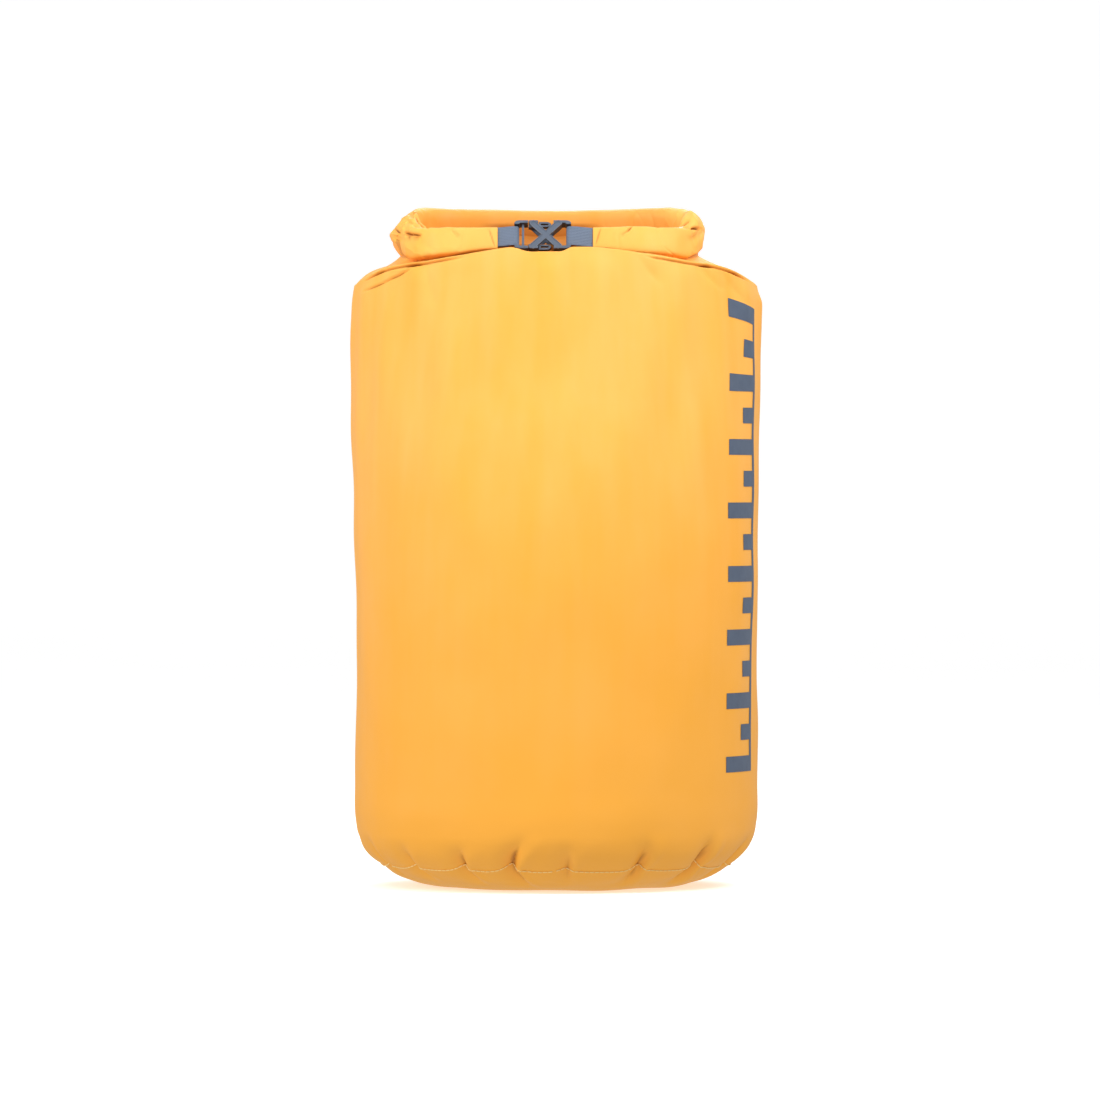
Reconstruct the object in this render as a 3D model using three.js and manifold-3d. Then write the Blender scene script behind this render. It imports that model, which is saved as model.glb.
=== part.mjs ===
// A roll-top dry bag (a waterproof stuff sack) of about 35 litres, full and closed: the mouth is rolled down,
// its two ends are brought round to the front, and a side-release buckle on webbing straps joins them.
// Millimetres, +Z up. The bag stands on the origin; the buckle is at the front, -Y, and its plug is on the left, -X.
import * as THREE from "three";
import { mergeVertices } from "three/addons/utils/BufferGeometryUtils.js";
import Module from "manifold-3d";

const wasm = await Module();
wasm.setup();

// ---- Driving dimensions ----
const GAP = 0.35; // air between pieces that touch
const BODY_RADIUS = 157; // the full bag at its widest, just under the shoulder
const WALL = 1.2; // coated cloth, drawn thicker than it is
const TOP = 490.5; // the cloth under the rolled ring, at the middle
const SEAM_RADIUS = 132.5; // the sewn edge between body and base
const SEAM_HEIGHT = 16.5;
const FOOT_RADIUS = 78; // the flat the bag stands on
const TAPE_WIDTH = 20; // heat-sealed tape on the inside of each seam
const TAPE_THICKNESS = 0.5;
const THREAD_RADIUS = 0.5;
const LATHE_STEPS = 40;

const NECK_START = 375; // above this the round bag flattens towards the rolled mouth
const SHOULDER = 450; // above this it also moves across to meet the ring
const NECK_DEPTH_SHARE = 0.66; // depth over width at the top of the neck
const NECK_Y = -22; // the middle of the neck's top, which leans to the front
const RING_X = -7.5; // the rolled ring sits a little left of the bag's axis
const RING_Y = -28; // and further forward than the neck
const RING_HALF_WIDTH = 112; // to the middle of the roll
const RING_DEPTH = 100; // between the middles of the front arms and the back
const RING_HEIGHT = 503.4; // the middle of the roll, halfway back
const RING_TILT = THREE.MathUtils.degToRad(7.3); // the ring's front is lower than its back
const ROLL_HEIGHT = 24; // the flattened roll's section
const ROLL_THICKNESS = 18;
const SLOT_HEIGHT = 18.4; // the hollow in the middle of the roll
const SLOT_THICKNESS = 5.6;
const FRONT_LEAN = THREE.MathUtils.degToRad(25); // the arms lean back at the front, and the roll stands almost upright at the back
const BACK_LEAN = THREE.MathUtils.degToRad(8);
const LEFT_TIP_X = -44.8; // where each strap leaves its arm
const RIGHT_TIP_X = 28.4;
const LEFT_ARM_LENGTH = 74; // the soft end of the roll that gives way as the buckle opens
const STIFFENER_HEIGHT = 12;
const STIFFENER_THICKNESS = 0.6;
const STIFFENER_INSET = 14;

const PRINT_TURN = THREE.MathUtils.degToRad(66); // round from the front to the middle of the print
const PRINT_HALF_WIDTH = 24;
const PRINT_BOTTOM = 90;
const PRINT_TOP = 440;
const PRINT_BAR = 12; // the height of each bar
const PRINT_STEPS = 14; // between the lowest and the highest bar
const PRINT_THICKNESS = 0.4;

const BUCKLE_X = -20.9; // where plug meets socket
const WEBBING_WIDTH = 16;
const WEBBING_THICKNESS = 1.1;
const BUCKLE_HALF_HEIGHT = 12.1;
const BUCKLE_THICKNESS = 8.8;
const BUCKLE_FORWARD = 0.4; // its mouldings stand this much nearer the front than its straps
const RAIL_HEIGHT = 2.6; // the plug's and socket's top and bottom rails
const RAIL_END_HEIGHT = 3.6; // and where they end, beside a strap
const RAIL_BEVEL = 0.75;
const PLUG_LENGTH = 10.8;
const SOCKET_LENGTH = 32.3;
const BAR_THICKNESS = 2.6; // each bar that a strap loops round
const BAR_WIDTH = 1.7;
const CROSS_X = 13; // the middle of the cross on the socket
const CROSS_WIDTH = 4.8;
const CROSS_BORDER = 0.6; // the raised edge along each leg of the cross
const CROSS_RECESS = 0.35; // and how far the leg's face lies below it
const PLATE_THICKNESS = 1.6; // the socket's front and back faces
const CATCH_X = 7.4; // the end of the socket's mouth, which the hooks catch on
const BLOCK_X = 19; // the start of the socket's closed end
const MOUTH_WALL = 2; // the wall that each latch arm passes under
const LATCH_INSIDE = 7.1; // from the buckle's middle to the latch arm
const LATCH_TIP_X = 17.2;
const LATCH_THICKNESS = 2.1;
const LATCH_DEPTH = 4;

// ---- Shared shape helpers ----
const lerp = THREE.MathUtils.lerp;
const smoothstep = THREE.MathUtils.smoothstep;
const material = (color, roughness) => new THREE.MeshStandardMaterial({ color, roughness, metalness: 0 });
const CLOTH = material("#f2a83a", 0.55);
const TAPE = material("#d9dbd8", 0.5);
const THREAD = material("#f6c56a", 0.7);
const WEBBING = material("#8491a3", 0.8);
const MOULDING = material("#5d6878", 0.45);
const PRINT = material("#586880", 0.6);
const STIFFENER = material("#e6e4dc", 0.5);

const mesh = (name, geometry, look) => {
  const made = new THREE.Mesh(geometry, look);
  made.name = name;
  return made;
};

// Joins loops of equal length into one closed body. A closed run of loops bites its own tail; an open one gets end caps.
function loft(loops, closed = false) {
  const count = loops[0].length;
  const positions = loops.flat().flatMap((p) => [p.x, p.y, p.z]);
  const index = [];
  const last = closed ? loops.length : loops.length - 1;
  for (let i = 0; i < last; i++) {
    const here = i * count;
    const next = ((i + 1) % loops.length) * count;
    for (let j = 0; j < count; j++) {
      const k = (j + 1) % count;
      index.push(here + j, here + k, next + k, here + j, next + k, next + j);
    }
  }
  if (!closed) {
    const end = last * count;
    for (let j = 1; j < count - 1; j++) {
      index.push(0, j + 1, j, end, end + j, end + j + 1);
    }
  }
  return new THREE.BufferGeometry()
    .setAttribute("position", new THREE.Float32BufferAttribute(positions, 3))
    .setIndex(index);
}

// A three.js geometry as a manifold-3d solid, and back.
function solid(geometry) {
  const bare = geometry.index ? geometry.toNonIndexed() : geometry.clone();
  for (const extra of ["normal", "uv"]) bare.deleteAttribute(extra);
  const merged = mergeVertices(bare, 1e-3);
  return new wasm.Manifold(
    new wasm.Mesh({
      numProp: 3,
      vertProperties: merged.attributes.position.array,
      triVerts: new Uint32Array(merged.index.array),
    }),
  );
}

function geometryOf(made) {
  const { vertProperties, triVerts } = made.getMesh();
  return new THREE.BufferGeometry()
    .setAttribute("position", new THREE.BufferAttribute(vertProperties, 3))
    .setIndex(new THREE.BufferAttribute(triVerts, 1));
}

const union = (parts) => parts.slice(1).reduce((sum, part) => sum.add(part), parts[0]);

// A box between two corners.
function box(x0, x1, y0, y1, z0, z1) {
  const geometry = new THREE.BoxGeometry(x1 - x0, y1 - y0, z1 - z0);
  return geometry.translate((x0 + x1) / 2, (y0 + y1) / 2, (z0 + z1) / 2);
}

// A flat plate with an outline in X and Z and a thickness along Y, centred on Y = 0, its edges rounded by the bevel.
function plate(shape, thickness, bevel = 0, steps = 1) {
  const geometry = new THREE.ExtrudeGeometry(shape, {
    depth: thickness - 2 * bevel,
    bevelEnabled: bevel > 0,
    bevelThickness: bevel,
    bevelSize: bevel,
    bevelOffset: -bevel,
    bevelSegments: steps,
    curveSegments: 4,
  });
  return geometry.translate(0, 0, bevel - thickness / 2).rotateX(Math.PI / 2);
}

// A rectangle in X and Z with round corners.
function roundedRectangle(x0, x1, z0, z1, radius) {
  const shape = new THREE.Shape();
  shape.absarc(x1 - radius, z0 + radius, radius, -Math.PI / 2, 0);
  shape.absarc(x1 - radius, z1 - radius, radius, 0, Math.PI / 2);
  shape.absarc(x0 + radius, z1 - radius, radius, Math.PI / 2, Math.PI);
  shape.absarc(x0 + radius, z0 + radius, radius, Math.PI, 1.5 * Math.PI);
  return shape;
}

// ---- The bag's cloth ----
// The side of the full bag, from the seam up to the middle of the top, as radius and height.
const bodyProfile = [
  [SEAM_RADIUS, SEAM_HEIGHT],
  [138.5, 22],
  [145, 29],
  [150, 37],
  [153, 50],
  [153.8, 80],
  [153.8, 160],
  [155, 250],
  [BODY_RADIUS - 0.5, 350],
  [BODY_RADIUS, 400],
  [BODY_RADIUS, 435],
  [156, 456],
  [152.5, 465],
  [144, 471.5],
  [129, 477],
  [119, 483],
  [111, TOP - 1.4],
  [98, TOP],
  [0, TOP],
];

// The dished base, from the middle out towards the seam.
const baseProfile = [
  [0, 0],
  [FOOT_RADIUS, 0],
  [98, 1.6],
  [112, 5],
  [125, 11.2],
];
const SEAM = baseProfile.length; // where the seam comes in the whole profile
const wholeProfile = [...baseProfile, ...bodyProfile].map(([r, z]) => new THREE.Vector2(r, z));

// A profile moved sideways, to its left as it is walked along.
function offset(profile, distance) {
  return profile.map((point, i) => {
    const before = profile[Math.max(i - 1, 0)];
    const after = profile[Math.min(i + 1, profile.length - 1)];
    const along = after.clone().sub(before).normalize();
    const moved = new THREE.Vector2(point.x - along.y * distance, point.y + along.x * distance);
    if (point.x === 0) moved.x = 0;
    return moved;
  });
}

// The neck is narrower front to back than side to side, and its top moves across and tilts with the rolled ring.
function flattenNeck(geometry) {
  const position = geometry.attributes.position;
  for (let i = 0; i < position.count; i++) {
    const z = position.getZ(i);
    const share = smoothstep(z, NECK_START, TOP);
    const y = position.getY(i) * lerp(1, NECK_DEPTH_SHARE, share) + NECK_Y * share;
    const x = position.getX(i) + RING_X * smoothstep(z, SHOULDER, TOP);
    position.setXYZ(i, x, y, z + (y - RING_Y) * Math.tan(RING_TILT) * share ** 4);
  }
  return geometry;
}

// A closed outline turned about Z. An outline that reaches the axis starts and ends on it.
function turned(outline) {
  const closed = outline[0].x > 0 ? [...outline, outline[0]] : outline;
  return new THREE.LatheGeometry(closed, LATHE_STEPS).rotateX(Math.PI / 2);
}

// Leaves the gap that the seam needs by starting a profile a little further along.
function startLater(profile) {
  const [first, second] = profile;
  const start = second.clone().sub(first).setLength(GAP).add(first);
  return [start, ...profile.slice(1)];
}

const lining = offset(wholeProfile, WALL);
const bodyOutside = startLater(wholeProfile.slice(SEAM));
const bodyInside = startLater(lining.slice(SEAM));
const bodyPanel = flattenNeck(turned([...bodyInside.toReversed(), ...bodyOutside]));
const basePanel = turned([...wholeProfile.slice(0, SEAM + 1), ...lining.slice(0, SEAM + 1).toReversed()]);

// Tape on the inside of the seam, half of its width on each side.
const tapeLine = offset(wholeProfile, WALL + GAP).slice(SEAM - 1, SEAM + 2);
const tapeOutside = tapeLine.map((point) =>
  point === tapeLine[1] ? point : point.clone().sub(tapeLine[1]).setLength(TAPE_WIDTH / 2).add(tapeLine[1]),
);
const baseSeamTape = turned([...tapeOutside, ...offset(tapeOutside, TAPE_THICKNESS).toReversed()]);

// One line of thread all round the sewn edge, lying outside it.
const threadRing = new THREE.TorusGeometry(SEAM_RADIUS + 1, THREAD_RADIUS, 6, LATHE_STEPS)
  .translate(0, 0, SEAM_HEIGHT - 0.8);

// A strip that runs up the back of the body, a given distance outside (or, if negative, inside) its surface.
function backStrip(width, thickness, clearance, from, to) {
  const near = offset(wholeProfile, -clearance).slice(from, to);
  const far = offset(wholeProfile, -clearance - thickness).slice(from, to);
  const half = width / 2;
  // The turned cloth has an edge at the middle of the back, and falls away flat on each side of it.
  const drop = half * Math.tan(Math.PI / LATHE_STEPS);
  const loops = near.map((p, i) => {
    const q = far[i];
    return [
      new THREE.Vector3(half, p.x - drop, p.y),
      new THREE.Vector3(half, q.x - drop, q.y),
      new THREE.Vector3(0, q.x, q.y),
      new THREE.Vector3(-half, q.x - drop, q.y),
      new THREE.Vector3(-half, p.x - drop, p.y),
      new THREE.Vector3(0, p.x, p.y),
    ];
  });
  return flattenNeck(loft(loops));
}
const backSeamTape = backStrip(TAPE_WIDTH, TAPE_THICKNESS, -WALL - GAP - TAPE_THICKNESS, SEAM + 2, SEAM + 15);
const backSeamThread = backStrip(2 * THREAD_RADIUS, 2 * THREAD_RADIUS, GAP, SEAM + 2, SEAM + 15);

// A printed gauge on the right of the front: bars of two lengths on an upright line, as a thin layer that follows
// the cloth. Its outline is drawn flat, facing the part of the body that it lies on, and cuts a thin shell.
function fillGauge() {
  const layer = wholeProfile.slice(SEAM, SEAM + 12);
  const near = offset(layer, -GAP);
  const far = offset(layer, -GAP - PRINT_THICKNESS);
  const shell = solid(flattenNeck(turned([...near.toReversed(), ...far])));
  const pieces = [box(PRINT_HALF_WIDTH - 5, PRINT_HALF_WIDTH, -200, 0, PRINT_BOTTOM, PRINT_TOP)];
  const pitch = (PRINT_TOP - PRINT_BOTTOM - PRINT_BAR) / PRINT_STEPS;
  for (let i = 0; i <= PRINT_STEPS; i++) {
    const z = PRINT_BOTTOM + i * pitch;
    const length = i % 2 ? PRINT_HALF_WIDTH : 2 * PRINT_HALF_WIDTH;
    pieces.push(box(PRINT_HALF_WIDTH - length, PRINT_HALF_WIDTH, -200, 0, z, z + PRINT_BAR));
  }
  const cutter = union(pieces.map((piece) => solid(piece.rotateZ(PRINT_TURN))));
  return geometryOf(shell.intersect(cutter));
}

// ---- The rolled closure ----
// The middle of the roll seen from above: from the left arm's tip round the back to the right arm's tip.
function ringPath() {
  const bend = RING_DEPTH / 2;
  const straight = RING_HALF_WIDTH - bend;
  const path = new THREE.Path();
  path.moveTo(LEFT_TIP_X, RING_Y - bend);
  path.lineTo(RING_X - straight, RING_Y - bend);
  path.absarc(RING_X - straight, RING_Y, bend, -Math.PI / 2, Math.PI / 2, true);
  path.lineTo(RING_X + straight, RING_Y + bend);
  path.absarc(RING_X + straight, RING_Y, bend, Math.PI / 2, -Math.PI / 2, true);
  path.lineTo(RIGHT_TIP_X, RING_Y - bend);
  return path;
}
const ring = ringPath();
const ringLength = ring.getLength();

// A section (across, up) carried along the ring between two distances from the left tip, as a run of loops.
function alongRing(section, from, to, step) {
  const steps = Math.ceil((to - from) / step);
  return Array.from({ length: steps + 1 }, (_, i) => {
    const share = Math.min((from + ((to - from) * i) / steps) / ringLength, 1 - 1e-6);
    const middle = ring.getPointAt(share);
    const along = ring.getTangentAt(share);
    const inward = new THREE.Vector2(along.y, -along.x);
    const back = middle.y - RING_Y;
    const lean = lerp(FRONT_LEAN, BACK_LEAN, back / RING_DEPTH + 0.5);
    return section.map(([across, up]) => {
      const reach = across * Math.cos(lean) + up * Math.sin(lean);
      const x = middle.x + inward.x * reach;
      const y = middle.y + inward.y * reach;
      const rise = up * Math.cos(lean) - across * Math.sin(lean);
      return new THREE.Vector3(x, y, RING_HEIGHT + back * Math.tan(RING_TILT) + rise);
    });
  });
}

// An oval section, or with squareness over 1 an oval whose sides are cut off flat.
function oval(thickness, height, squareness = 1) {
  const flat = (share) => THREE.MathUtils.clamp(squareness * share, -1, 1);
  return Array.from({ length: ROLL_POINTS }, (_, i) => {
    const turn = (2 * Math.PI * i) / ROLL_POINTS;
    return [(flat(Math.cos(turn)) * thickness) / 2, (-flat(Math.sin(turn)) * height) / 2];
  });
}

const ROLL_POINTS = 12;
const rollSection = oval(ROLL_THICKNESS, ROLL_HEIGHT);
const slotSection = oval(SLOT_THICKNESS, SLOT_HEIGHT, 1.6);

function rolledCloth(from, to, step = 11) {
  const outside = alongRing(rollSection, from, to, step);
  const inside = alongRing(slotSection, from, to, step);
  return loft([...outside, ...inside.toReversed()], true);
}
const leftArm = rolledCloth(0, LEFT_ARM_LENGTH);
const rolledClosure = rolledCloth(LEFT_ARM_LENGTH + GAP, ringLength);

// A strip of stiff plastic in the hem, at the inner side of the slot. It stops short of the straps' loops.
const stiffenerMiddle = SLOT_THICKNESS / 2 - 1.5 * GAP - STIFFENER_THICKNESS / 2;
const stiffenerSection = [
  [-1, -1],
  [-1, 1],
  [1, 1],
  [1, -1],
].map(([across, up]) => [
  stiffenerMiddle + (across * STIFFENER_THICKNESS) / 2,
  (up * STIFFENER_HEIGHT) / 2,
]);
const stiffener = loft(alongRing(stiffenerSection, STIFFENER_INSET, ringLength - STIFFENER_INSET, 11));

// ---- Straps, in the buckle's own frame: X along the webbing, Y through it, Z across it ----
const BAR_X = -PLUG_LENGTH + BAR_WIDTH / 2 + 0.2; // the plug's bar
const STRAP_TAIL = 15; // sewn into the arm
const SLOT_FRONT = -0.9; // the two layers lie flat together in the front of the slot

// Webbing folded round a bar: out along the front, round the bar and back, as a hairpin outline in X and Y.
function hairpin(barX, endX) {
  const side = Math.sign(barX - endX);
  const inner = BAR_THICKNESS / 2 + GAP;
  const outer = inner + WEBBING_THICKNESS;
  const tail = GAP / 2;
  const merge = barX - side * 9;
  const outline = new THREE.Shape();
  outline.moveTo(endX, SLOT_FRONT - tail - WEBBING_THICKNESS);
  outline.lineTo(merge, SLOT_FRONT - tail - WEBBING_THICKNESS);
  outline.lineTo(barX, -outer);
  outline.absarc(barX, 0, outer, -Math.PI / 2, Math.PI / 2, side < 0);
  outline.lineTo(merge, SLOT_FRONT + tail + WEBBING_THICKNESS);
  outline.lineTo(endX, SLOT_FRONT + tail + WEBBING_THICKNESS);
  outline.lineTo(endX, SLOT_FRONT + tail);
  outline.lineTo(merge, SLOT_FRONT + tail);
  outline.lineTo(barX, inner);
  outline.absarc(barX, 0, inner, Math.PI / 2, -Math.PI / 2, side > 0);
  outline.lineTo(merge, SLOT_FRONT - tail);
  outline.lineTo(endX, SLOT_FRONT - tail);
  outline.closePath();
  const geometry = new THREE.ExtrudeGeometry(outline, {
    depth: WEBBING_WIDTH,
    bevelEnabled: false,
    curveSegments: 8,
  });
  return geometry.translate(0, 0, -WEBBING_WIDTH / 2);
}
const leftEnd = LEFT_TIP_X - BUCKLE_X - STRAP_TAIL;
const rightEnd = RIGHT_TIP_X - BUCKLE_X + STRAP_TAIL;
const SOCKET_BAR_X = SOCKET_LENGTH - BAR_WIDTH / 2 - 0.2;
const leftStrap = hairpin(BAR_X, leftEnd);
const rightStrap = hairpin(SOCKET_BAR_X, rightEnd);

// The block of zigzag thread that sews a strap's two layers to the hem, on the strap's back inside the arm.
function bartack(x) {
  const back = SLOT_FRONT + GAP / 2 + WEBBING_THICKNESS + GAP;
  return box(x - 1.2, x + 1.2, back, back + 0.6, -6, 6);
}
const leftBartack = bartack(leftEnd + 7);
const rightBartack = bartack(rightEnd - 7);

// ---- Buckle ----
const halfPlate = BUCKLE_THICKNESS / 2;
const railInside = BUCKLE_HALF_HEIGHT - RAIL_HEIGHT;

// A rail along the top (side 1) or bottom (side -1) edge of the buckle, from where the halves meet to beside a strap.
// Its outer corner there is well rounded.
function rail(meetX, endX, side) {
  const outward = Math.sign(endX - meetX);
  const outline = new THREE.Shape();
  outline.moveTo(meetX, railInside);
  outline.lineTo(meetX, BUCKLE_HALF_HEIGHT);
  outline.lineTo(endX - outward * 5, BUCKLE_HALF_HEIGHT);
  outline.quadraticCurveTo(
    endX - outward * 0.8,
    BUCKLE_HALF_HEIGHT,
    endX,
    BUCKLE_HALF_HEIGHT - RAIL_END_HEIGHT + 2 * RAIL_BEVEL + 0.3,
  );
  outline.lineTo(endX, BUCKLE_HALF_HEIGHT - RAIL_END_HEIGHT);
  outline.lineTo(endX - outward * 3.4, BUCKLE_HALF_HEIGHT - RAIL_END_HEIGHT);
  outline.lineTo(endX - outward * 4.4, railInside);
  outline.closePath();
  return moulding(outline, side);
}

// The short rail beside the mouth, which a latch arm passes under and catches on.
function mouthRail(side) {
  return moulding(roundedRectangle(0, CATCH_X, railInside, BUCKLE_HALF_HEIGHT, 1.2), side);
}

// A bevelled plate of the buckle's thickness; side -1 turns it over to the bottom edge.
function moulding(outline, side) {
  const geometry = plate(outline, BUCKLE_THICKNESS, RAIL_BEVEL, 2);
  if (side < 0) geometry.rotateX(Math.PI);
  return solid(geometry.translate(0, -BUCKLE_FORWARD, 0));
}

function strapBar(x, width, thickness) {
  const inset = railInside + 1;
  return solid(box(x - width / 2, x + width / 2, -thickness / 2, thickness / 2, -inset, inset));
}

// A bar of the cross, turned about the cross's middle. depth is how far it goes back from front.
function crossBar(turn, half, width, front, depth, bevel) {
  const shape = roundedRectangle(-half, half, -width / 2, width / 2, Math.min(1.2, width / 3));
  const geometry = plate(shape, depth, bevel).rotateY(turn);
  return solid(geometry.translate(CROSS_X, front + depth / 2, 0));
}

function buckleSocket() {
  const halfSpan = BUCKLE_HALF_HEIGHT - 2.2;
  const reach = CROSS_X - 3;
  const slant = Math.atan2(halfSpan, reach);
  const half = Math.hypot(halfSpan, reach) + 1.5;
  const front = -halfPlate - BUCKLE_FORWARD;
  const turns = [slant, -slant];
  const shell = union([
    ...turns.map((turn) => crossBar(turn, half, CROSS_WIDTH, front, BUCKLE_THICKNESS, 0.3)),
    mouthRail(1),
    mouthRail(-1),
    rail(BLOCK_X, SOCKET_LENGTH, 1),
    rail(BLOCK_X, SOCKET_LENGTH, -1),
    strapBar(SOCKET_BAR_X, BAR_WIDTH, BAR_THICKNESS),
  ]);
  const hollowFront = front + PLATE_THICKNESS;
  const hollowBack = halfPlate - BUCKLE_FORWARD - PLATE_THICKNESS;
  const hollowZ = BUCKLE_HALF_HEIGHT - MOUTH_WALL;
  const hollow = solid(box(-1, BLOCK_X, hollowFront, hollowBack, -hollowZ, hollowZ));
  const faces = turns.map((turn) =>
    crossBar(turn, half - 0.8, CROSS_WIDTH - 2 * CROSS_BORDER, front - 1, 1 + CROSS_RECESS, 0),
  );
  return shell.subtract(hollow).subtract(union(faces));
}

function bucklePlug() {
  const meet = -GAP;
  return union([
    rail(meet, -PLUG_LENGTH, 1),
    rail(meet, -PLUG_LENGTH, -1),
    strapBar(BAR_X, BAR_WIDTH, BAR_THICKNESS),
    strapBar(-4.2, 1.7, 3.6),
  ]);
}

// A springy arm with a hook and a thumb pad at its end. It is moulded on to the plug and bends at its root.
function latchArm(side) {
  const inner = LATCH_INSIDE;
  const outline = new THREE.Shape();
  outline.moveTo(0, inner);
  outline.lineTo(LATCH_TIP_X - 2, inner + 0.6);
  outline.quadraticCurveTo(LATCH_TIP_X, inner + 1, LATCH_TIP_X, inner + 2.4);
  outline.quadraticCurveTo(LATCH_TIP_X - 0.6, BUCKLE_HALF_HEIGHT - 0.6, LATCH_TIP_X - 3, BUCKLE_HALF_HEIGHT - 0.4);
  outline.lineTo(CATCH_X + GAP, BUCKLE_HALF_HEIGHT - 0.3);
  outline.lineTo(CATCH_X + GAP, inner + LATCH_THICKNESS);
  outline.lineTo(0, inner + LATCH_THICKNESS);
  outline.closePath();
  const blank = solid(plate(outline, LATCH_DEPTH));
  const grip = box(CATCH_X + 2, LATCH_TIP_X - 2, -LATCH_DEPTH, LATCH_DEPTH, inner + 1.7, inner + 3.2);
  const made = geometryOf(blank.subtract(solid(grip)));
  return side > 0 ? made : made.rotateX(Math.PI);
}

// ---- Assembly ----
const bag = new THREE.Group();
bag.add(
  mesh("body_panel", bodyPanel, CLOTH),
  mesh("base_panel", basePanel, CLOTH),
  mesh("base_seam_tape", baseSeamTape, TAPE),
  mesh("base_seam_thread", threadRing, THREAD),
  mesh("back_seam_tape", backSeamTape, TAPE),
  mesh("back_seam_thread", backSeamThread, THREAD),
  mesh("fill_gauge_print", fillGauge(), PRINT),
  mesh("rolled_closure", rolledClosure, CLOTH),
  mesh("left_roll_arm", leftArm, CLOTH),
  mesh("closure_stiffener", stiffener, STIFFENER),
);

const buckle = new THREE.Group();
buckle.position.set(
  BUCKLE_X,
  RING_Y - RING_DEPTH / 2,
  RING_HEIGHT - (RING_DEPTH / 2) * Math.tan(RING_TILT),
);
buckle.rotation.x = -FRONT_LEAN;
buckle.add(
  mesh("left_strap", leftStrap, WEBBING),
  mesh("right_strap", rightStrap, WEBBING),
  mesh("left_strap_bartack", leftBartack, THREAD),
  mesh("right_strap_bartack", rightBartack, THREAD),
  mesh("buckle_socket", geometryOf(buckleSocket()), MOULDING),
  mesh("buckle_plug", geometryOf(bucklePlug()), MOULDING),
  mesh("upper_latch_arm", latchArm(1), MOULDING),
  mesh("lower_latch_arm", latchArm(-1), MOULDING),
);
bag.add(buckle);

export default bag;
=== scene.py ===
"""Looks of the roll-top dry bag: its cloth, print, stitching, webbing and buckle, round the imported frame."""

import math

import bpy
import numpy as np
from mathutils import Matrix, Vector


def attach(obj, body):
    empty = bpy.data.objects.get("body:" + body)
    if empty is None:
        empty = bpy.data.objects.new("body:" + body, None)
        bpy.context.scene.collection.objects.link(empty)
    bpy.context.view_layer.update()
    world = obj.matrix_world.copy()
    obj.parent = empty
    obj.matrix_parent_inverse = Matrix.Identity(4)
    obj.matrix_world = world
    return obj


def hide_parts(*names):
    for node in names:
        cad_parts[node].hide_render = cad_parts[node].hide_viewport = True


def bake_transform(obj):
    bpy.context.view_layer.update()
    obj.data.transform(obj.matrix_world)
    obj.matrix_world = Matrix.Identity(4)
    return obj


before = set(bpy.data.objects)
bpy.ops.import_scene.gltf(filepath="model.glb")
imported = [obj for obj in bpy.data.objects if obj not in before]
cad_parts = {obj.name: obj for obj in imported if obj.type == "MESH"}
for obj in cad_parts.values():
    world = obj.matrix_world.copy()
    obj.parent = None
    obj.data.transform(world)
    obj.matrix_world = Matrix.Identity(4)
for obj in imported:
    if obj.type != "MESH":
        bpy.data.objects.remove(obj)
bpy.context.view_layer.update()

MM = 0.001

# ---- Driving dimensions, in millimetres. The bag stands on the origin and its front is -Y. ----
SEAM_HEIGHT = 16.5
SEAM_RADIUS = 132.5
CREST_HEIGHT = 461  # where the wall folds over at the sides
CREST_ACROSS = (0, 38, 60, 96, 137, 156)  # at these distances from the middle of the front, it folds higher by
CREST_RISES = (27.4, 26.8, 23.6, 18.2, 10.4, 0)
BACK_CREST_RISE = 10
FRONT_CREST_DEPTH = 108  # from the axis to the fold at the front, and at the back
BACK_CREST_DEPTH = 98
SIDE_RADIUS = 155
TOP = 490.5
RING_X = -7.5  # the rolled ring
RING_Y = -28
RING_HALF_WIDTH = 112
RING_DEPTH = 100
RING_HEIGHT = 503.4
WAIST_X = -4.5  # the neck is narrowest just under the ring
WAIST_HALF_WIDTH = 113.5
WAIST_HEIGHT = 484
RING_TILT = math.radians(7.3)
FRONT_LEAN = math.radians(25)
BACK_LEAN = math.radians(8)
RIGHT_BEND_LEAN = math.radians(6)
LEFT_TIP_X = -44.8
RIGHT_TIP_X = 28.4
LEFT_ARM_LENGTH = 74
BUCKLE_X = -20.9
SEED = 7

RING_SLOPE = math.tan(RING_TILT)


# ---- Numbers ----
def smoothstep(low, high, value):
    share = np.clip((value - low) / (high - low), 0, 1)
    return share * share * (3 - 2 * share)


def lerp(a, b, share):
    return a + (b - a) * share


def signed_power(values, power):
    return np.sign(values) * np.abs(values) ** power


def cubic(t, first, last, first_slope, last_slope, step=1):
    """The cubic piece between two values, t of the way along it, from its slopes at both ends."""
    start = (1 + 2 * t) * (1 - t) ** 2 * first + t * (1 - t) ** 2 * step * first_slope
    end = t * t * (3 - 2 * t) * last + t * t * (t - 1) * step * last_slope
    return start + end


def smooth_curve(x, knots, values):
    """A smooth curve through points: its slope at each is that of the line between the point's neighbours."""
    knots = np.asarray(knots, float)
    values = np.asarray(values, float)
    slopes = np.gradient(values, knots)
    i = np.clip(np.searchsorted(knots, x) - 1, 0, len(knots) - 2)
    step = knots[i + 1] - knots[i]
    t = np.clip((x - knots[i]) / step, 0, 1)
    return cubic(t, values[i], values[i + 1], slopes[i], slopes[i + 1], step)


def lengths_along(path):
    """How far along a path each of its points is."""
    return np.concatenate([[0], np.cumsum(np.linalg.norm(np.diff(path, axis=0), axis=1))])


def ripple(points, size, seed):
    """Soft waves about size mm long, between roughly -1 and 1, for an array of points."""
    rng = np.random.default_rng(seed)
    total = np.zeros(points.shape[:-1])
    waves = 9
    for _ in range(waves):
        direction = rng.normal(size=3)
        direction /= np.linalg.norm(direction)
        length = size * rng.uniform(0.7, 1.6)
        total += np.sin(points @ direction * (2 * math.pi / length) + rng.uniform(0, 2 * math.pi))
    return total / math.sqrt(waves)


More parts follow.
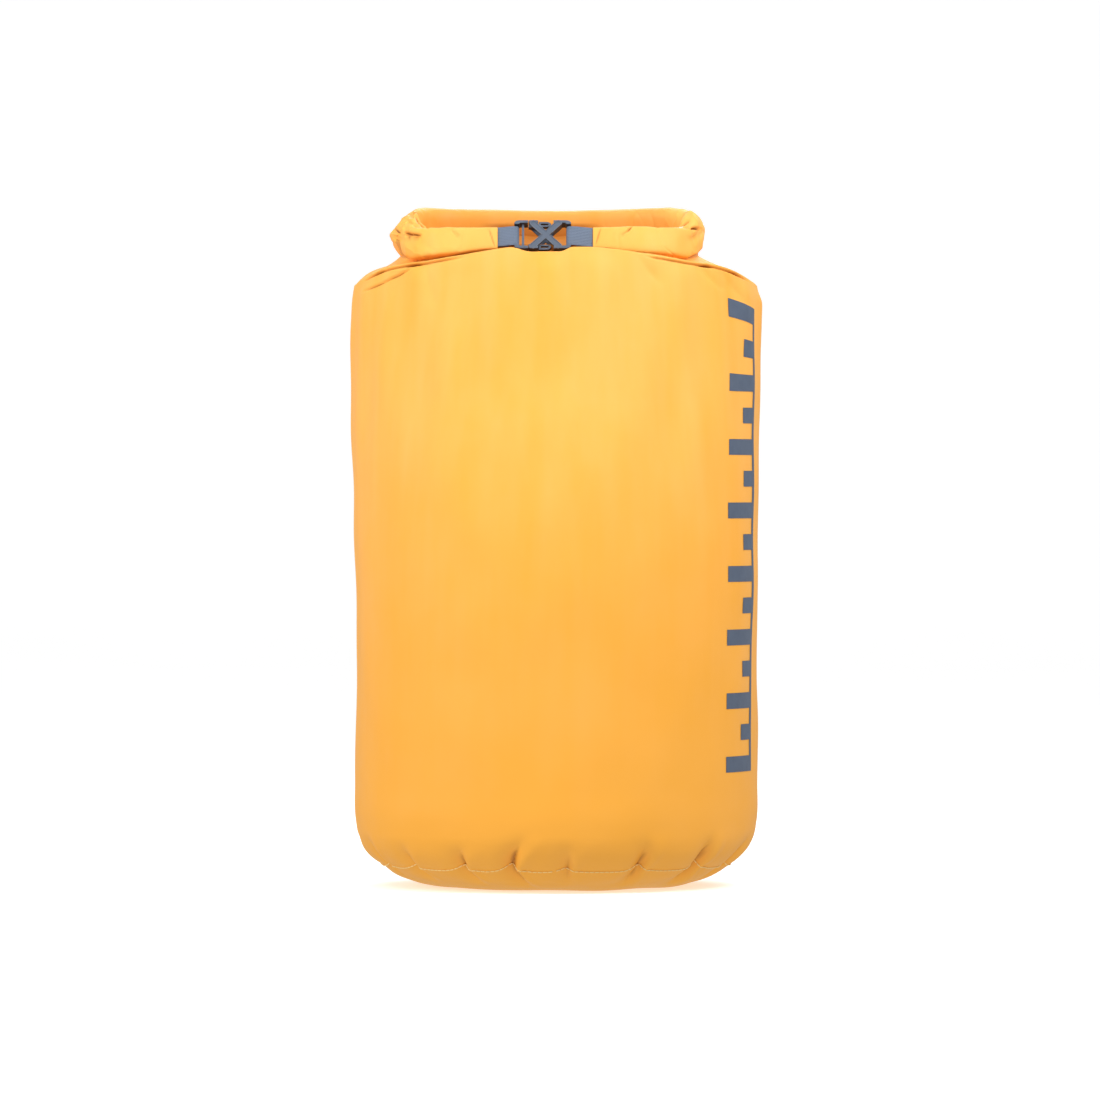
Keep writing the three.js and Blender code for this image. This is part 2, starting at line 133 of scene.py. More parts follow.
def groove(x, z, start, end, width):
    """How deep in a crease, from 0 to 1, a point of the front view is. It runs between two (x, z) points."""
    ax, az = start
    bx, bz = end
    length = math.hypot(bx - ax, bz - az)
    along = ((x - ax) * (bx - ax) + (z - az) * (bz - az)) / length**2
    nearest = np.clip(along, 0, 1)
    gap = np.hypot(x - lerp(ax, bx, nearest), z - lerp(az, bz, nearest))
    fade = np.sin(np.pi * np.clip(0.15 + 0.7 * along, 0, 1))
    return np.exp(-((gap / width) ** 1.5)) * fade


# ---- Meshes ----
def grid_normals(points):
    """Outward unit normals of a grid of points [row, column, 3] whose columns go round."""
    around = np.roll(points, -1, 1) - np.roll(points, 1, 1)
    up = np.gradient(points, axis=0)
    normals = np.cross(around, up)
    return normals / np.maximum(np.linalg.norm(normals, axis=2, keepdims=True), 1e-9)


def mesh_object(name, vertices, faces, uvs=None):
    """A mesh object from vertices in mm. uvs holds one pair in mm for each corner of each face."""
    mesh = bpy.data.meshes.new(name)
    mesh.from_pydata((np.asarray(vertices) * MM).tolist(), [], faces)
    if uvs is not None:
        layer = mesh.uv_layers.new(name="cloth")
        layer.data.foreach_set("uv", (np.asarray(uvs, float) * MM).ravel())
    mesh.polygons.foreach_set("use_smooth", [True] * len(mesh.polygons))
    mesh.validate()
    obj = bpy.data.objects.new(name, mesh)
    bpy.context.collection.objects.link(obj)
    return obj


def grid_faces(rows, columns, wrap=True, offset=0):
    """The quads of a grid, and for each corner its row and its column, which keeps counting past the wrap."""
    faces = []
    corners = []
    for r in range(rows - 1):
        for c in range(columns if wrap else columns - 1):
            quad = [(r, c), (r, c + 1), (r + 1, c + 1), (r + 1, c)]
            faces.append([offset + i * columns + j % columns for i, j in quad])
            corners.extend(quad)
    return faces, corners


def blur(points, reach):
    """The points averaged with their neighbours in the grid, reach times over. The columns go round."""
    for _ in range(reach):
        points = (np.roll(points, 1, 1) + 2 * points + np.roll(points, -1, 1)) / 4
        padded = np.concatenate([points[:1], points, points[-1:]])
        points = (padded[:-2] + 2 * points + padded[2:]) / 4
    return points


def creases(points, shallow, deep, reach=6):
    """How deep in a crease each point is, from 0 to 1: its depth in mm below the blurred surface."""
    below = ((blur(points, reach) - points) * grid_normals(points)).sum(axis=2)
    return smoothstep(shallow, deep, below)


def mark_painted_shade(obj, depth):
    """Keeps on the mesh how dark each point is painted, from the creases' depth and other shade, where the
    cloth's material reads it as painted shade.
    """
    layer = obj.data.attributes.new("crease", "FLOAT", "POINT")
    layer.data.foreach_set("value", depth.ravel().astype(np.float32))


def grid_object(name, points, u, v, cap=None):
    """A tube over a grid of points. u gives each column's place round it and v each row's along it, in mm. cap
    closes the "first", the "last" or "both" ends."""
    rows, columns = points.shape[:2]
    faces, corners = grid_faces(rows, columns)
    uvs = [(u[c], v[r]) for r, c in corners]
    if cap in ("first", "both"):
        faces.append(list(range(columns))[::-1])
        uvs += [(u[c], v[0]) for c in range(columns)]
    if cap in ("last", "both"):
        faces.append([(rows - 1) * columns + c for c in range(columns)])
        uvs += [(u[c], v[-1]) for c in range(columns)]
    return mesh_object(name, points.reshape(-1, 3), faces, uvs)


def dress(obj, look, body, slot, *replaced):
    """Gives a finished piece its material, the body it rides on and the CAD nodes it stands for. Its slot is
    not used.
    """
    obj.data.materials.clear()
    obj.data.materials.append(look)
    if body:
        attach(obj, body)
    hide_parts(*replaced)


# ---- Materials ----
class Look:
    """A procedural material being put together."""

    def __init__(self, name, color, roughness):
        self.material = bpy.data.materials.new(name)
        self.material.use_nodes = True
        self.nodes = self.material.node_tree.nodes
        self.shader = self.nodes["Principled BSDF"]
        self.shader.inputs["Base Color"].default_value = (*color, 1)
        self.shader.inputs["Roughness"].default_value = roughness
        self.height = None

    def link(self, output, socket):
        self.material.node_tree.links.new(output, socket)

    def node(self, kind, **inputs):
        made = self.nodes.new("ShaderNode" + kind)
        for name, value in inputs.items():
            made.inputs[name.replace("_", " ")].default_value = value
        return made

    def uv(self):
        made = self.node("UVMap")
        made.uv_map = "cloth"
        return made.outputs["UV"]

    def place(self):
        return self.node("TexCoord").outputs["Object"]

    def noise(self, where, scale, detail=2):
        made = self.node("TexNoise", Scale=scale, Detail=detail)
        self.link(where, made.inputs["Vector"])
        return made.outputs["Fac"]

    def vector_math(self, operation, value, by):
        made = self.node("VectorMath")
        made.operation = operation
        self.link(value, made.inputs[0])
        made.inputs[1].default_value = by
        return made.outputs

    def stretched(self, where, height):
        """A place whose height counts for less, so that what is drawn by it is drawn out upwards."""
        return self.vector_math("MULTIPLY", where, (1, 1, height))["Vector"]

    def facing(self, direction):
        """How squarely the surface faces a direction of the object's own frame, from -1 to 1."""
        normal = self.node("TexCoord").outputs["Normal"]
        return self.vector_math("DOT_PRODUCT", normal, direction)["Value"]

    def math(self, operation, a, b=None):
        made = self.node("Math")
        made.operation = operation
        for socket, value in zip(made.inputs, (a, b)):
            if value is None:
                continue
            if isinstance(value, (int, float)):
                socket.default_value = value
            else:
                self.link(value, socket)
        return made.outputs[0]

    def times(self, a, b):
        return self.math("MULTIPLY", a, b)

    def plus(self, a, b):
        return self.math("ADD", a, b)

    def minus(self, a, b):
        return self.math("SUBTRACT", a, b)

    def split(self, where):
        made = self.node("SeparateXYZ")
        self.link(where, made.inputs[0])
        return made.outputs

    def bands(self, value, pitch):
        """A sine wave of a coordinate, one wave each pitch metres, from -1 to 1."""
        return self.math("SINE", self.times(value, 2 * math.pi / pitch))

    def mixed(self, value, low, high):
        """A colour between two others, which are colours or outputs, by a value from 0 to 1."""
        mix = self.node("Mix")
        mix.data_type = "RGBA"
        self.link(value, mix.inputs["Factor"])
        sockets = [s for s in mix.inputs if s.type == "RGBA"]
        for socket, color in zip(sockets, (low, high)):
            if isinstance(color, tuple):
                socket.default_value = (*color, 1)
            else:
                self.link(color, socket)
        return next(s for s in mix.outputs if s.type == "RGBA")

    def color(self, value, low, high):
        """Colours the material between two colours by a value from 0 to 1."""
        self.link(self.mixed(value, low, high), self.shader.inputs["Base Color"])

    def attribute(self, name):
        made = self.node("Attribute")
        made.attribute_name = name
        return made.outputs["Fac"]

    def rough(self, value, low, high):
        span = self.times(value, high - low)
        self.link(self.plus(span, low), self.shader.inputs["Roughness"])

    def mottle(self, scale, detail, low, high):
        """Colours the material in soft spots between two colours."""
        self.color(self.noise(self.place(), scale, detail), low, high)

    def bump(self, value, distance, strength):
        """Raises the surface by value times distance metres, on top of any bump already there."""
        made = self.node("Bump", Strength=strength, Distance=distance)
        self.link(value, made.inputs["Height"])
        if self.height:
            self.link(self.height, made.inputs["Normal"])
        self.height = made.outputs["Normal"]
        self.link(self.height, self.shader.inputs["Normal"])


CLOTH_COLOR = (0.90, 0.4, 0.046)
# The pale colour is partly the cloth's paler tone at random and partly painted light: the cloth turns to it
# higher up and in streaks.
CLOTH_PALE_TONE_AND_PAINTED_LIGHT = (0.94, 0.45, 0.095)
# The colour of painted shade, in creases, folds and recesses.
CLOTH_SHADOW = (0.26, 0.055, 0.004)  # in the bottom of a crease
WEAVE = 0.0005  # from one thread of the cloth to the next, in metres


def plain_weave(look, pitch):
    """Threads that pass over and under each other, pitch metres apart, as a height."""
    u, v, _ = look.split(look.uv())
    return look.times(look.bands(u, 2 * pitch), look.bands(v, 2 * pitch))


def coated_cloth():
    """Cloth with paler patches at random, painted light that makes it paler higher up, painted streaks there,
    paler and darker, and painted shade in its creases.
    """
    look = Look("coated_cloth", CLOTH_COLOR, 0.5)
    place = look.place()
    # Painted light: the higher the cloth, the paler it is painted.
    painted_light_by_height = look.times(look.split(place)[2], 1.7)
    patches = look.minus(look.noise(place, 11, 4), 0.6)
    # Painted light and shade: streaks up high, paler and darker, stand in for the shading of fine creases.
    uneven = look.minus(look.noise(look.stretched(place, 0.1), 45, 3), 0.5)
    streaks = look.times(look.times(uneven, painted_light_by_height), 2.2)
    pale = look.plus(look.plus(painted_light_by_height, patches), streaks)
    cloth = look.mixed(pale, CLOTH_COLOR, CLOTH_PALE_TONE_AND_PAINTED_LIGHT)
    # Painted shade: the crease attribute darkens the cloth where shade falls.
    look.color(look.attribute("crease"), cloth, CLOTH_SHADOW)
    look.rough(look.noise(place, 60, 3), 0.42, 0.58)
    look.bump(look.noise(place, 28, 3), 0.0012, 0.35)
    look.bump(plain_weave(look, WEAVE), 0.00006, 0.35)
    look.shader.inputs["Specular IOR Level"].default_value = 0.22
    return look.material


def printed_ink():
    look = Look("printed_ink", (0.07, 0.095, 0.145), 0.55)
    look.mottle(140, 5, (0.058, 0.08, 0.125), (0.085, 0.115, 0.17))
    look.bump(plain_weave(look, WEAVE), 0.00006, 0.3)
    return look.material


def woven_webbing():
    look = Look("woven_webbing", (0.128, 0.17, 0.24), 0.8)
    u, v, _ = look.split(look.uv())
    chevron = look.plus(u, look.times(look.math("PINGPONG", v, 0.002), 0.8))
    ribs = look.bands(chevron, 0.0011)
    cords = look.bands(v, 0.0013)
    weave = look.times(look.plus(ribs, cords), 0.5)
    shade = look.plus(look.times(weave, 0.2), 0.5)
    look.color(shade, (0.09, 0.12, 0.175), (0.165, 0.215, 0.3))
    look.bump(look.noise(look.place(), 900, 2), 0.0001, 0.4)
    look.bump(weave, 0.00018, 0.8)
    look.shader.inputs["Sheen Weight"].default_value = 0.08
    return look.material


def moulded_plastic():
    """Plastic that is paler on its broad face and its edges than down its sides, by painted shade down its
    sides and a painted highlight along its edges.
    """
    look = Look("moulded_plastic", (0.082, 0.108, 0.152), 0.42)
    place = look.place()
    front = look.facing((0, -math.cos(FRONT_LEAN), math.sin(FRONT_LEAN)))
    face = look.mixed(look.noise(place, 260, 4), (0.075, 0.098, 0.138), (0.1, 0.128, 0.178))
    # Painted shade: the more the surface turns away from the buckle's front, the nearer it is painted to black.
    on_face = look.times(look.minus(front, 0.6), 3)
    shaded = look.mixed(on_face, (0.02, 0.026, 0.038), face)
    # Painted highlight: a pale line where the surface faces about 45 degrees off the front, as along the
    # bevels.
    off_painted_highlight = look.times(look.math("ABSOLUTE", look.minus(front, 0.72)), 7)
    edge = look.times(look.minus(1, off_painted_highlight), 0.6)
    look.color(look.math("MAXIMUM", edge, 0), shaded, (0.3, 0.34, 0.4))
    look.rough(look.noise(place, 500, 3), 0.34, 0.5)
    look.bump(look.noise(place, 2600, 2), 0.00003, 0.5)
    return look.material


def twisted_thread():
    look = Look("twisted_thread", (0.95, 0.66, 0.24), 0.7)
    look.mottle(700, 2, (0.93, 0.6, 0.18), (0.98, 0.73, 0.3))
    look.bump(look.bands(look.split(look.place())[2], 0.0006), 0.00008, 0.6)
    return look.material


def clear_tape():
    look = Look("seam_tape", (0.7, 0.71, 0.68), 0.45)
    look.mottle(40, 3, (0.62, 0.63, 0.6), (0.74, 0.75, 0.72))
    look.bump(look.noise(look.place(), 120, 2), 0.0003, 0.4)
    return look.material


def plain_strip():
    look = Look("stiffener_plastic", (0.7, 0.68, 0.62), 0.5)
    look.mottle(50, 2, (0.62, 0.6, 0.55), (0.76, 0.74, 0.68))
    look.bump(look.noise(look.place(), 400, 2), 0.0001, 0.4)
    return look.material


CLOTH = coated_cloth()
INK = printed_ink()
WEBBING = woven_webbing()
PLASTIC = moulded_plastic()
THREAD = twisted_thread()
TAPE = clear_tape()
STIFFENER = plain_strip()

# ---- The body's surface ----
COLUMNS = 480
PLAIN_ROWS = 190  # the wall's rows below the fold, and then closer together at it
FOLD_ROWS = 50
FOLD_START = 436
WALL_ROWS = PLAIN_ROWS + FOLD_ROWS
SHOULDER_ROWS = 34
NECK_ROWS = 12
TOP_ROWS = 18
ROWS = WALL_ROWS + SHOULDER_ROWS + NECK_ROWS + TOP_ROWS

# The side of the wall: nominal heights and radii.
WALL_HEIGHTS = (SEAM_HEIGHT, 22, 29, 37, 50, 80, 160, 250, 350, 400, 435, 452, CREST_HEIGHT)
WALL_RADII = (SEAM_RADIUS, 140, 147, 151.4, 153.8, 154.3, 153.8, 155, 156.5, 157, 157, 156.5, SIDE_RADIUS)

# Where the wall is gathered into the base seam: degrees round from the front, how strongly, how many degrees
# the gather leans by its upper end, and how far up it reaches in mm.
PUCKERS = (
    (-70, 0.9, -1.5, 24),
    (-52, 0.8, 1.0, 20),
    (-31, 1.0, 2.1, 20),
    (-14.3, 1.3, 4.6, 27),
    (3.7, 0.7, -0.4, 23),
    (28.3, 1.1, -2.0, 27),
    (52.6, 1.4, -1.5, 27),
    (73.6, 0.9, 2.5, 24),
    (101, 0.9, -2.0, 24),
    (124, 1.0, 2.0, 26),
    (143, 0.7, 1.5, 20),
    (166, 1.0, -2.0, 26),
    (188, 0.8, 1.0, 22),
    (207, 1.1, -2.0, 28),
    (229, 0.8, 2.0, 22),
    (252, 1.0, -2.0, 26),
    (272, 0.9, 1.5, 24),
)

# Creases in the front of the body, as the front view shows them: start, end, depth and width.
BODY_CREASES = (
    ((-112, 472.5), (-131, 463.5), 2.6, 0.8),
    ((-129, 464), (-146, 456.5), 2.0, 0.8),
    ((-99, 474), (-94, 446), 1.6, 4.0),
    ((-120, 470), (-128, 448), 1.0, 3.5),
    ((108, 476), (126, 458), 1.6, 2.4),
    ((128, 470), (146, 446), 1.6, 3.2),
    ((62, 482), (78, 462), 1.1, 3.4),
    ((40, 487), (46, 440), 0.7, 5.0),
    ((-70, 480), (-80, 430), 0.8, 6.0),
    ((-18, 486), (-14, 430), 0.6, 6.0),
)

# Where the fold at the top of the wall gapes: a place across the front, how much deeper it is and how wide.
FOLD_GAPS = (
    (-136, 4.2, 3.0),
    (-109, 5.2, 4.5),
    (-60, 1.5, 9),
    (73, 3.4, 5.0),
    (115, 4.6, 3.4),
    (137, 4.6, 3.0),
)
FOLD_DEPTH = 2.4
FOLD_WIDTH = 0.7
FOLD_HEIGHT = CREST_HEIGHT - 2.0
BUCKLE_DENT = 3.4  # how far the buckle presses the fold down
# Painted shade: how dark the cloth behind the buckle is painted.
BUCKLE_SHADE = 0.72  # how dark the cloth behind it is


def angles():
    return np.arange(COLUMNS) * (2 * math.pi / COLUMNS)


def nominal_heights():
    plain = np.linspace(SEAM_HEIGHT, FOLD_START, PLAIN_ROWS, endpoint=False)
    return np.concatenate([plain, np.linspace(FOLD_START, CREST_HEIGHT, FOLD_ROWS)])


def turn_from(angle, degrees):
    return (angle - np.radians(degrees) + math.pi) % (2 * math.pi) - math.pi


def pucker_depth(angle, distance):
    """How far the gathers at the base seam pull the cloth in, in mm, at a distance from the seam. Each gather
    slopes down from its left and is steep on its right, where it ends in a ridge."""
    depth = np.zeros(np.broadcast(angle, distance).shape)
    for degrees, strength, lean, reach in PUCKERS:
        share = distance / reach
        away = turn_from(angle, degrees + lean * share)
        width = math.radians(1.1) + math.radians(1.6) * share
        side = np.where(away < 0, 2.0, 0.7) * width
        fade = strength * (1 - smoothstep(0.2, 1.2, share))
        depth += 3.8 * fade * np.exp(-((np.abs(away) / side) ** 1.5))
        depth -= 1.2 * fade * np.exp(-(((away - 1.9 * width) / (1.1 * width)) ** 2))
    return depth


def seam_rise(angle):
    """How much higher the seam is drawn at each gather, in mm, and how it hangs between them."""
    rise = np.full(np.shape(angle), -0.8)
    for degrees, strength, _, _ in PUCKERS:
        rise += 2.2 * strength * np.exp(-((turn_from(angle, degrees) / math.radians(4.5)) ** 2))
    return rise


def crest(angle):
    """How much higher the wall folds over there than at the sides, and how far from the axis."""
    front = np.cos(angle) > 0
    front_rise = smooth_curve(SIDE_RADIUS * np.abs(np.sin(angle)), CREST_ACROSS, CREST_RISES)
    back_rise = BACK_CREST_RISE * np.cos(angle) ** 2
    depth = np.where(front, FRONT_CREST_DEPTH, BACK_CREST_DEPTH)
    return np.where(front, front_rise, back_rise), depth


def flattening(nominal):
    """How far the wall has gone, on its way up, from round to flattened."""
    return smoothstep(170, 500, nominal) ** 1.5


def under_buckle(x):
    return smoothstep(-35, -20, x) * (1 - smoothstep(3, 13, x))


def behind_buckle(x):
    """How far a place across the bag is behind the buckle, where little light gets in from the front."""
    return smoothstep(-62, -40, x) * (1 - smoothstep(18, 40, x))


def wall_points(angle, nominal):
    radius = smooth_curve(nominal, WALL_HEIGHTS, WALL_RADII)
    rise, crest_depth = crest(angle)
    depth_share = lerp(1, crest_depth / SIDE_RADIUS, flattening(nominal) / flattening(CREST_HEIGHT))
    z = nominal + rise * smoothstep(370, CREST_HEIGHT, nominal)
    z = z + seam_rise(angle) * (1 - smoothstep(0, 26, nominal - SEAM_HEIGHT))
    x = radius * np.sin(angle)
    z -= BUCKLE_DENT * under_buckle(x) * smoothstep(425, CREST_HEIGHT, nominal) * (np.cos(angle) > 0)
    y = -radius * np.cos(angle) * depth_share
    return np.stack(np.broadcast_arrays(x, y, z), axis=-1)


def neck_loop(angle, middle_x, half_width, half_depth, height):
    """A loop round the neck, squarer than an oval and tilted with the rolled ring."""
    x = middle_x + half_width * signed_power(np.sin(angle), 0.72)
    y = RING_Y - half_depth * signed_power(np.cos(angle), 0.72)
    z = height + (y - RING_Y) * RING_SLOPE
    return np.stack([x, y, z], axis=-1)


def between(first, last, count, last_share=1.0):
    """count rows that go evenly from one loop to another, without the first."""
    share = (np.arange(1, count + 1) / count)[:, None, None] * last_share
    return lerp(first[None], last, share)


def body_grid():
    """The body from the base seam, up the wall, over the fold, in to the neck, out to the roll and over the
    top, and how dark each point is painted, as painted shade."""
    angle = angles()[None, :]
    nominal = nominal_heights()[:, None]
    wall = wall_points(angle, nominal)
    edge = wall[-1]
    waist = neck_loop(angle[0], WAIST_X, WAIST_HALF_WIDTH, RING_DEPTH / 2 + 2, WAIST_HEIGHT)
    flare = neck_loop(angle[0], RING_X, RING_HALF_WIDTH + 4, RING_DEPTH / 2 + 3, RING_HEIGHT - 6)
    middle = np.array([RING_X, RING_Y, TOP - 5])
    shoulder = between(edge, waist, SHOULDER_ROWS)
    share = (np.arange(1, SHOULDER_ROWS + 1) / SHOULDER_ROWS)[:, None]
    rounded = share + 0.9 * share * (1 - share) ** 2
    shoulder[..., 2] = lerp(edge[None, :, 2], waist[None, :, 2], rounded)
    neck = between(waist, flare, NECK_ROWS)
    top = between(flare, middle, TOP_ROWS, 0.99)
    points = np.concatenate([wall, shoulder, neck, top])
    return wrinkle_body(points, angle, nominal)


def fold_depth(x):
    """How deep the fold at the top of the wall is pressed in, along the front."""
    depth = np.full(x.shape, float(FOLD_DEPTH))
    for place, more, width in FOLD_GAPS:
        depth += more * np.exp(-(((x - place) / width) ** 2))
    return depth * smoothstep(66, 88, np.abs(x)) * (1 - smoothstep(140, 149, np.abs(x)))


def wrinkle_body(points, angle, nominal):
    """The body's points with its folds and creases pressed in, and how dark each point is painted, as painted
    shade in its narrow creases, along the fold, under the roll's arms and in the recess inside the ring.
    """
    x, y, z = np.moveaxis(points, -1, 0)
    push = np.zeros(x.shape)
    dark = np.zeros(x.shape)
    wall = slice(0, WALL_ROWS)
    push[wall] -= GATHER_START * pucker_depth(angle, nominal - SEAM_HEIGHT)
    full = smoothstep(20, 70, nominal) * (1 - 0.5 * smoothstep(400, 460, nominal))
    push[wall] += 0.9 * full * ripple(points[wall] * (1, 1, 0.45), 120, SEED)
    push[wall] += 0.35 * full * ripple(points[wall] * (1, 1, 0.6), 42, SEED + 1)
    flutes = smoothstep(250, 430, nominal) * (1 - smoothstep(446, 459, nominal))
    push[wall] += 1.5 * flutes * ripple(points[wall] * (1, 1, 0.12), 32, SEED + 5)
    upper = slice(WALL_ROWS, ROWS)
    fade = smoothstep(0, 8, np.arange(ROWS - WALL_ROWS))[:, None]
    push[upper] += fade * (1.1 * ripple(points[upper], 38, SEED + 2) - 0.6)
    front = (y < 20) & (np.arange(ROWS) < WALL_ROWS + SHOULDER_ROWS)[:, None]
    for start, end, depth, width in BODY_CREASES:
        inside = groove(x, z, start, end, width)
        push -= np.where(front, depth * inside, 0)
        # Painted shade in the narrow creases.
        if width < 2:
            dark = np.maximum(dark, np.where(front, 0.6 * smoothstep(0.45, 0.9, inside), 0))
    gape = fold_depth(x[wall]) * smoothstep(-1.0, 0.2, np.cos(angle))
    push[wall] -= np.exp(-(((nominal - FOLD_HEIGHT) / FOLD_WIDTH) ** 2)) * gape
    # Painted shade: a dark line along the fold, darker where it gapes.
    line = np.exp(-(((nominal - FOLD_HEIGHT) / (0.3 + 0.06 * gape)) ** 2))
    dark[wall] = np.maximum(dark[wall], line * smoothstep(0.2, 6.0, gape) ** 0.45)
    # Painted shade in the gap under the roll's arms.
    gap = slice(WALL_ROWS + 1, WALL_ROWS + SHOULDER_ROWS)
    under_arms = (1 - smoothstep(66, 84, np.abs(x[gap]))) * (y[gap] < RING_Y)
    dark[gap] = np.maximum(dark[gap], 0.6 * under_arms)
    # Painted shade in the recess inside the ring, darker behind the buckle.
    recess = slice(WALL_ROWS + SHOULDER_ROWS, ROWS)
    in_shade = behind_buckle(x[recess]) * (1 - smoothstep(13, 17, y[recess]))
    dark[recess] = lerp(0.4, BUCKLE_SHADE, in_shade)
    return points + grid_normals(points) * push[..., None], dark


# ---- The gathered hem, as cloth ----
BASE_RADII = (2, 40, 78, 98, 112, 125, SEAM_RADIUS)
BASE_HEIGHTS = (0.2, 0.1, 0.2, 1.6, 5.0, 11.2, SEAM_HEIGHT)
BASE_ROWS = 64
HEM_ROWS = 64  # of the wall, that the simulation reaches
SIM_STEP = 2  # it works on every second row and column
SPARE_CLOTH = 0.034  # how much wider the cloth is cut at the seam than the seam it is sewn into
SPARE_REACH = 58  # how far from the seam the spare width lasts, in mm
CLOTH_FRAMES = 22
CLOTH_PRESSURE = 3.5
MOST_MOVE = 8.0  # of any point in the simulation, in mm
FLOOR_GAP = 0.05  # the least height of the cloth above the floor


def base_grid():
    """The dished base, flat where it stands. Its last row is the seam."""
    angle = angles()[None, :]
    share = np.linspace(0, 1, BASE_ROWS)[:, None]
    radius = lerp(2, SEAM_RADIUS, share**0.8)
    height = smooth_curve(radius, BASE_RADII, BASE_HEIGHTS)
    height = height + seam_rise(angle) * smoothstep(112, SEAM_RADIUS, radius)
    x = radius * np.sin(angle)
    y = -radius * np.cos(angle)
    points = np.stack(np.broadcast_arrays(x, y, height), axis=-1).astype(float)
    gathers = pucker_depth(angle, (SEAM_RADIUS - radius) * 1.15)
    push = -0.8 * GATHER_START * gathers + 0.4 * ripple(points, 45, SEED + 3)
    points += grid_normals(points) * push[..., None]
    points[..., 2] = np.maximum(points[..., 2], FLOOR_GAP)
    return points


def seam_distance(points, seam_row):
    """How far each row is from the seam along the cloth, negative below it."""
    steps = np.linalg.norm(np.diff(points, axis=0), axis=2).mean(axis=1)
    along = np.concatenate([[0], np.cumsum(steps)])
    return along - along[seam_row]


def run_cloth(points, cut, held):
    """Lets a tube of cloth take its own shape: cut gives the lengths it was cut to, held its fixed points."""
    rows, columns = points.shape[:2]
    obj = grid_object("cloth_at_work", points, np.arange(columns + 1.0), np.arange(rows * 1.0))
    obj.shape_key_add(name="Basis")
    key = obj.shape_key_add(name="cut")
    key.data.foreach_set("co", (cut.reshape(-1, 3) * MM).ravel())
    key.value = 0
    group = obj.vertex_groups.new(name="held")
    group.add(np.flatnonzero(held.ravel()).tolist(), 1.0, "REPLACE")
    cloth = obj.modifiers.new("cloth", "CLOTH")
    settings = cloth.settings
    settings.quality = 7
    settings.mass = 0.12
    settings.tension_stiffness = 30
    settings.compression_stiffness = 30
    settings.shear_stiffness = 10
    settings.bending_stiffness = 0.6
    settings.air_damping = 2
    settings.use_pressure = True
    settings.uniform_pressure_force = CLOTH_PRESSURE
    settings.vertex_group_mass = "held"
    settings.rest_shape_key = key
    settings.effector_weights.gravity = 0
    cloth.point_cache.frame_start = 1
    cloth.point_cache.frame_end = CLOTH_FRAMES
    scene = bpy.context.scene
    for number in range(1, CLOTH_FRAMES + 1):
        scene.frame_set(number)
    settled = obj.evaluated_get(bpy.context.evaluated_depsgraph_get()).to_mesh()
    result = np.zeros(rows * columns * 3)
    settled.vertices.foreach_get("co", result)
    bpy.data.objects.remove(obj)
    scene.frame_set(1)
    return result.reshape(rows, columns, 3) / MM


def spread(values, rows):
    """Brings a coarse grid of values to SIM_STEP times as many columns and to the given number of rows."""
    columns = values.shape[1]
    closed = np.concatenate([values[:, -1:], values, values[:, :2]], axis=1)
    place = np.arange(columns * SIM_STEP) / SIM_STEP + 1
    i = place.astype(int)
    t = (place - i)[None, :, None]
    before, here, after, later = (closed[:, i + k] for k in (-1, 0, 1, 2))
    wide = cubic(t, here, after, (after - before) / 2, (later - here) / 2)
    place = np.clip(np.arange(rows) / SIM_STEP, 0, values.shape[0] - 1)
    low = np.clip(place.astype(int), 0, values.shape[0] - 2)
    return lerp(wide[low], wide[low + 1], (place - low)[:, None, None])


def gather_hem(wall, base):
    """The base and the wall are cut wider than their seam. Held where they are gathered, and pressed out by the
    bag's contents, they puff out between the gathers and crease at them."""
    whole = np.concatenate([base[BASE_ROWS // 2 : -1], wall[:HEM_ROWS]])
    seam_row = BASE_ROWS - 1 - BASE_ROWS // 2
    coarse = whole[::SIM_STEP, ::SIM_STEP]
    row = int(round(seam_row / SIM_STEP))
    distance = seam_distance(coarse, row)
    spare = 1 + SPARE_CLOTH * (1 - smoothstep(0, SPARE_REACH, np.abs(distance)))
    cut = coarse * np.stack([spare, spare, np.ones_like(spare)], axis=-1)[:, None, :]
    held = np.zeros(coarse.shape[:2], bool)
    held[:3] = True
    held[-3:] = True
    for degrees, _, _, _ in PUCKERS:
        column = int(round((degrees % 360) / 360 * coarse.shape[1])) % coarse.shape[1]
        held[row, column] = True
    moved = run_cloth(coarse, cut, held) - coarse
    length = np.linalg.norm(moved, axis=2, keepdims=True)
    moved *= np.minimum(1, MOST_MOVE / np.maximum(length, 1e-6))
    fine = whole + spread(moved, len(whole))
    fine[..., 2] = np.maximum(fine[..., 2], FLOOR_GAP)
    wall = np.concatenate([fine[seam_row:], wall[HEM_ROWS:]])
    base = np.concatenate([base[: BASE_ROWS // 2], fine[: seam_row + 1]])
    return wall, base


GATHER_START = 1.15  # the simulation evens the gathers out, so they start deeper for it
BODY, BODY_PAINTED_SHADE = body_grid()
BASE = base_grid()
BODY, BASE = gather_hem(BODY, BASE)


def on_body(angle, height, lift=0.0):
    """A point of the finished wall at an angle and nominal height, lift mm above the cloth."""
    column = np.asarray(angle) / (2 * math.pi) * COLUMNS
    row = np.interp(height, nominal_heights(), np.arange(WALL_ROWS))
    low_row = np.clip(np.floor(row).astype(int), 0, ROWS - 2)
    low_column = np.floor(column).astype(int)
    v = (row - low_row)[..., None]
    u = (column - low_column)[..., None]

    def mixed(values):
        c0 = low_column % COLUMNS
        c1 = (low_column + 1) % COLUMNS
        lower = lerp(values[low_row, c0], values[low_row, c1], u)
        upper = lerp(values[low_row + 1, c0], values[low_row + 1, c1], u)
        return lerp(lower, upper, v)

    return mixed(BODY) + lift * mixed(grid_normals(BODY))


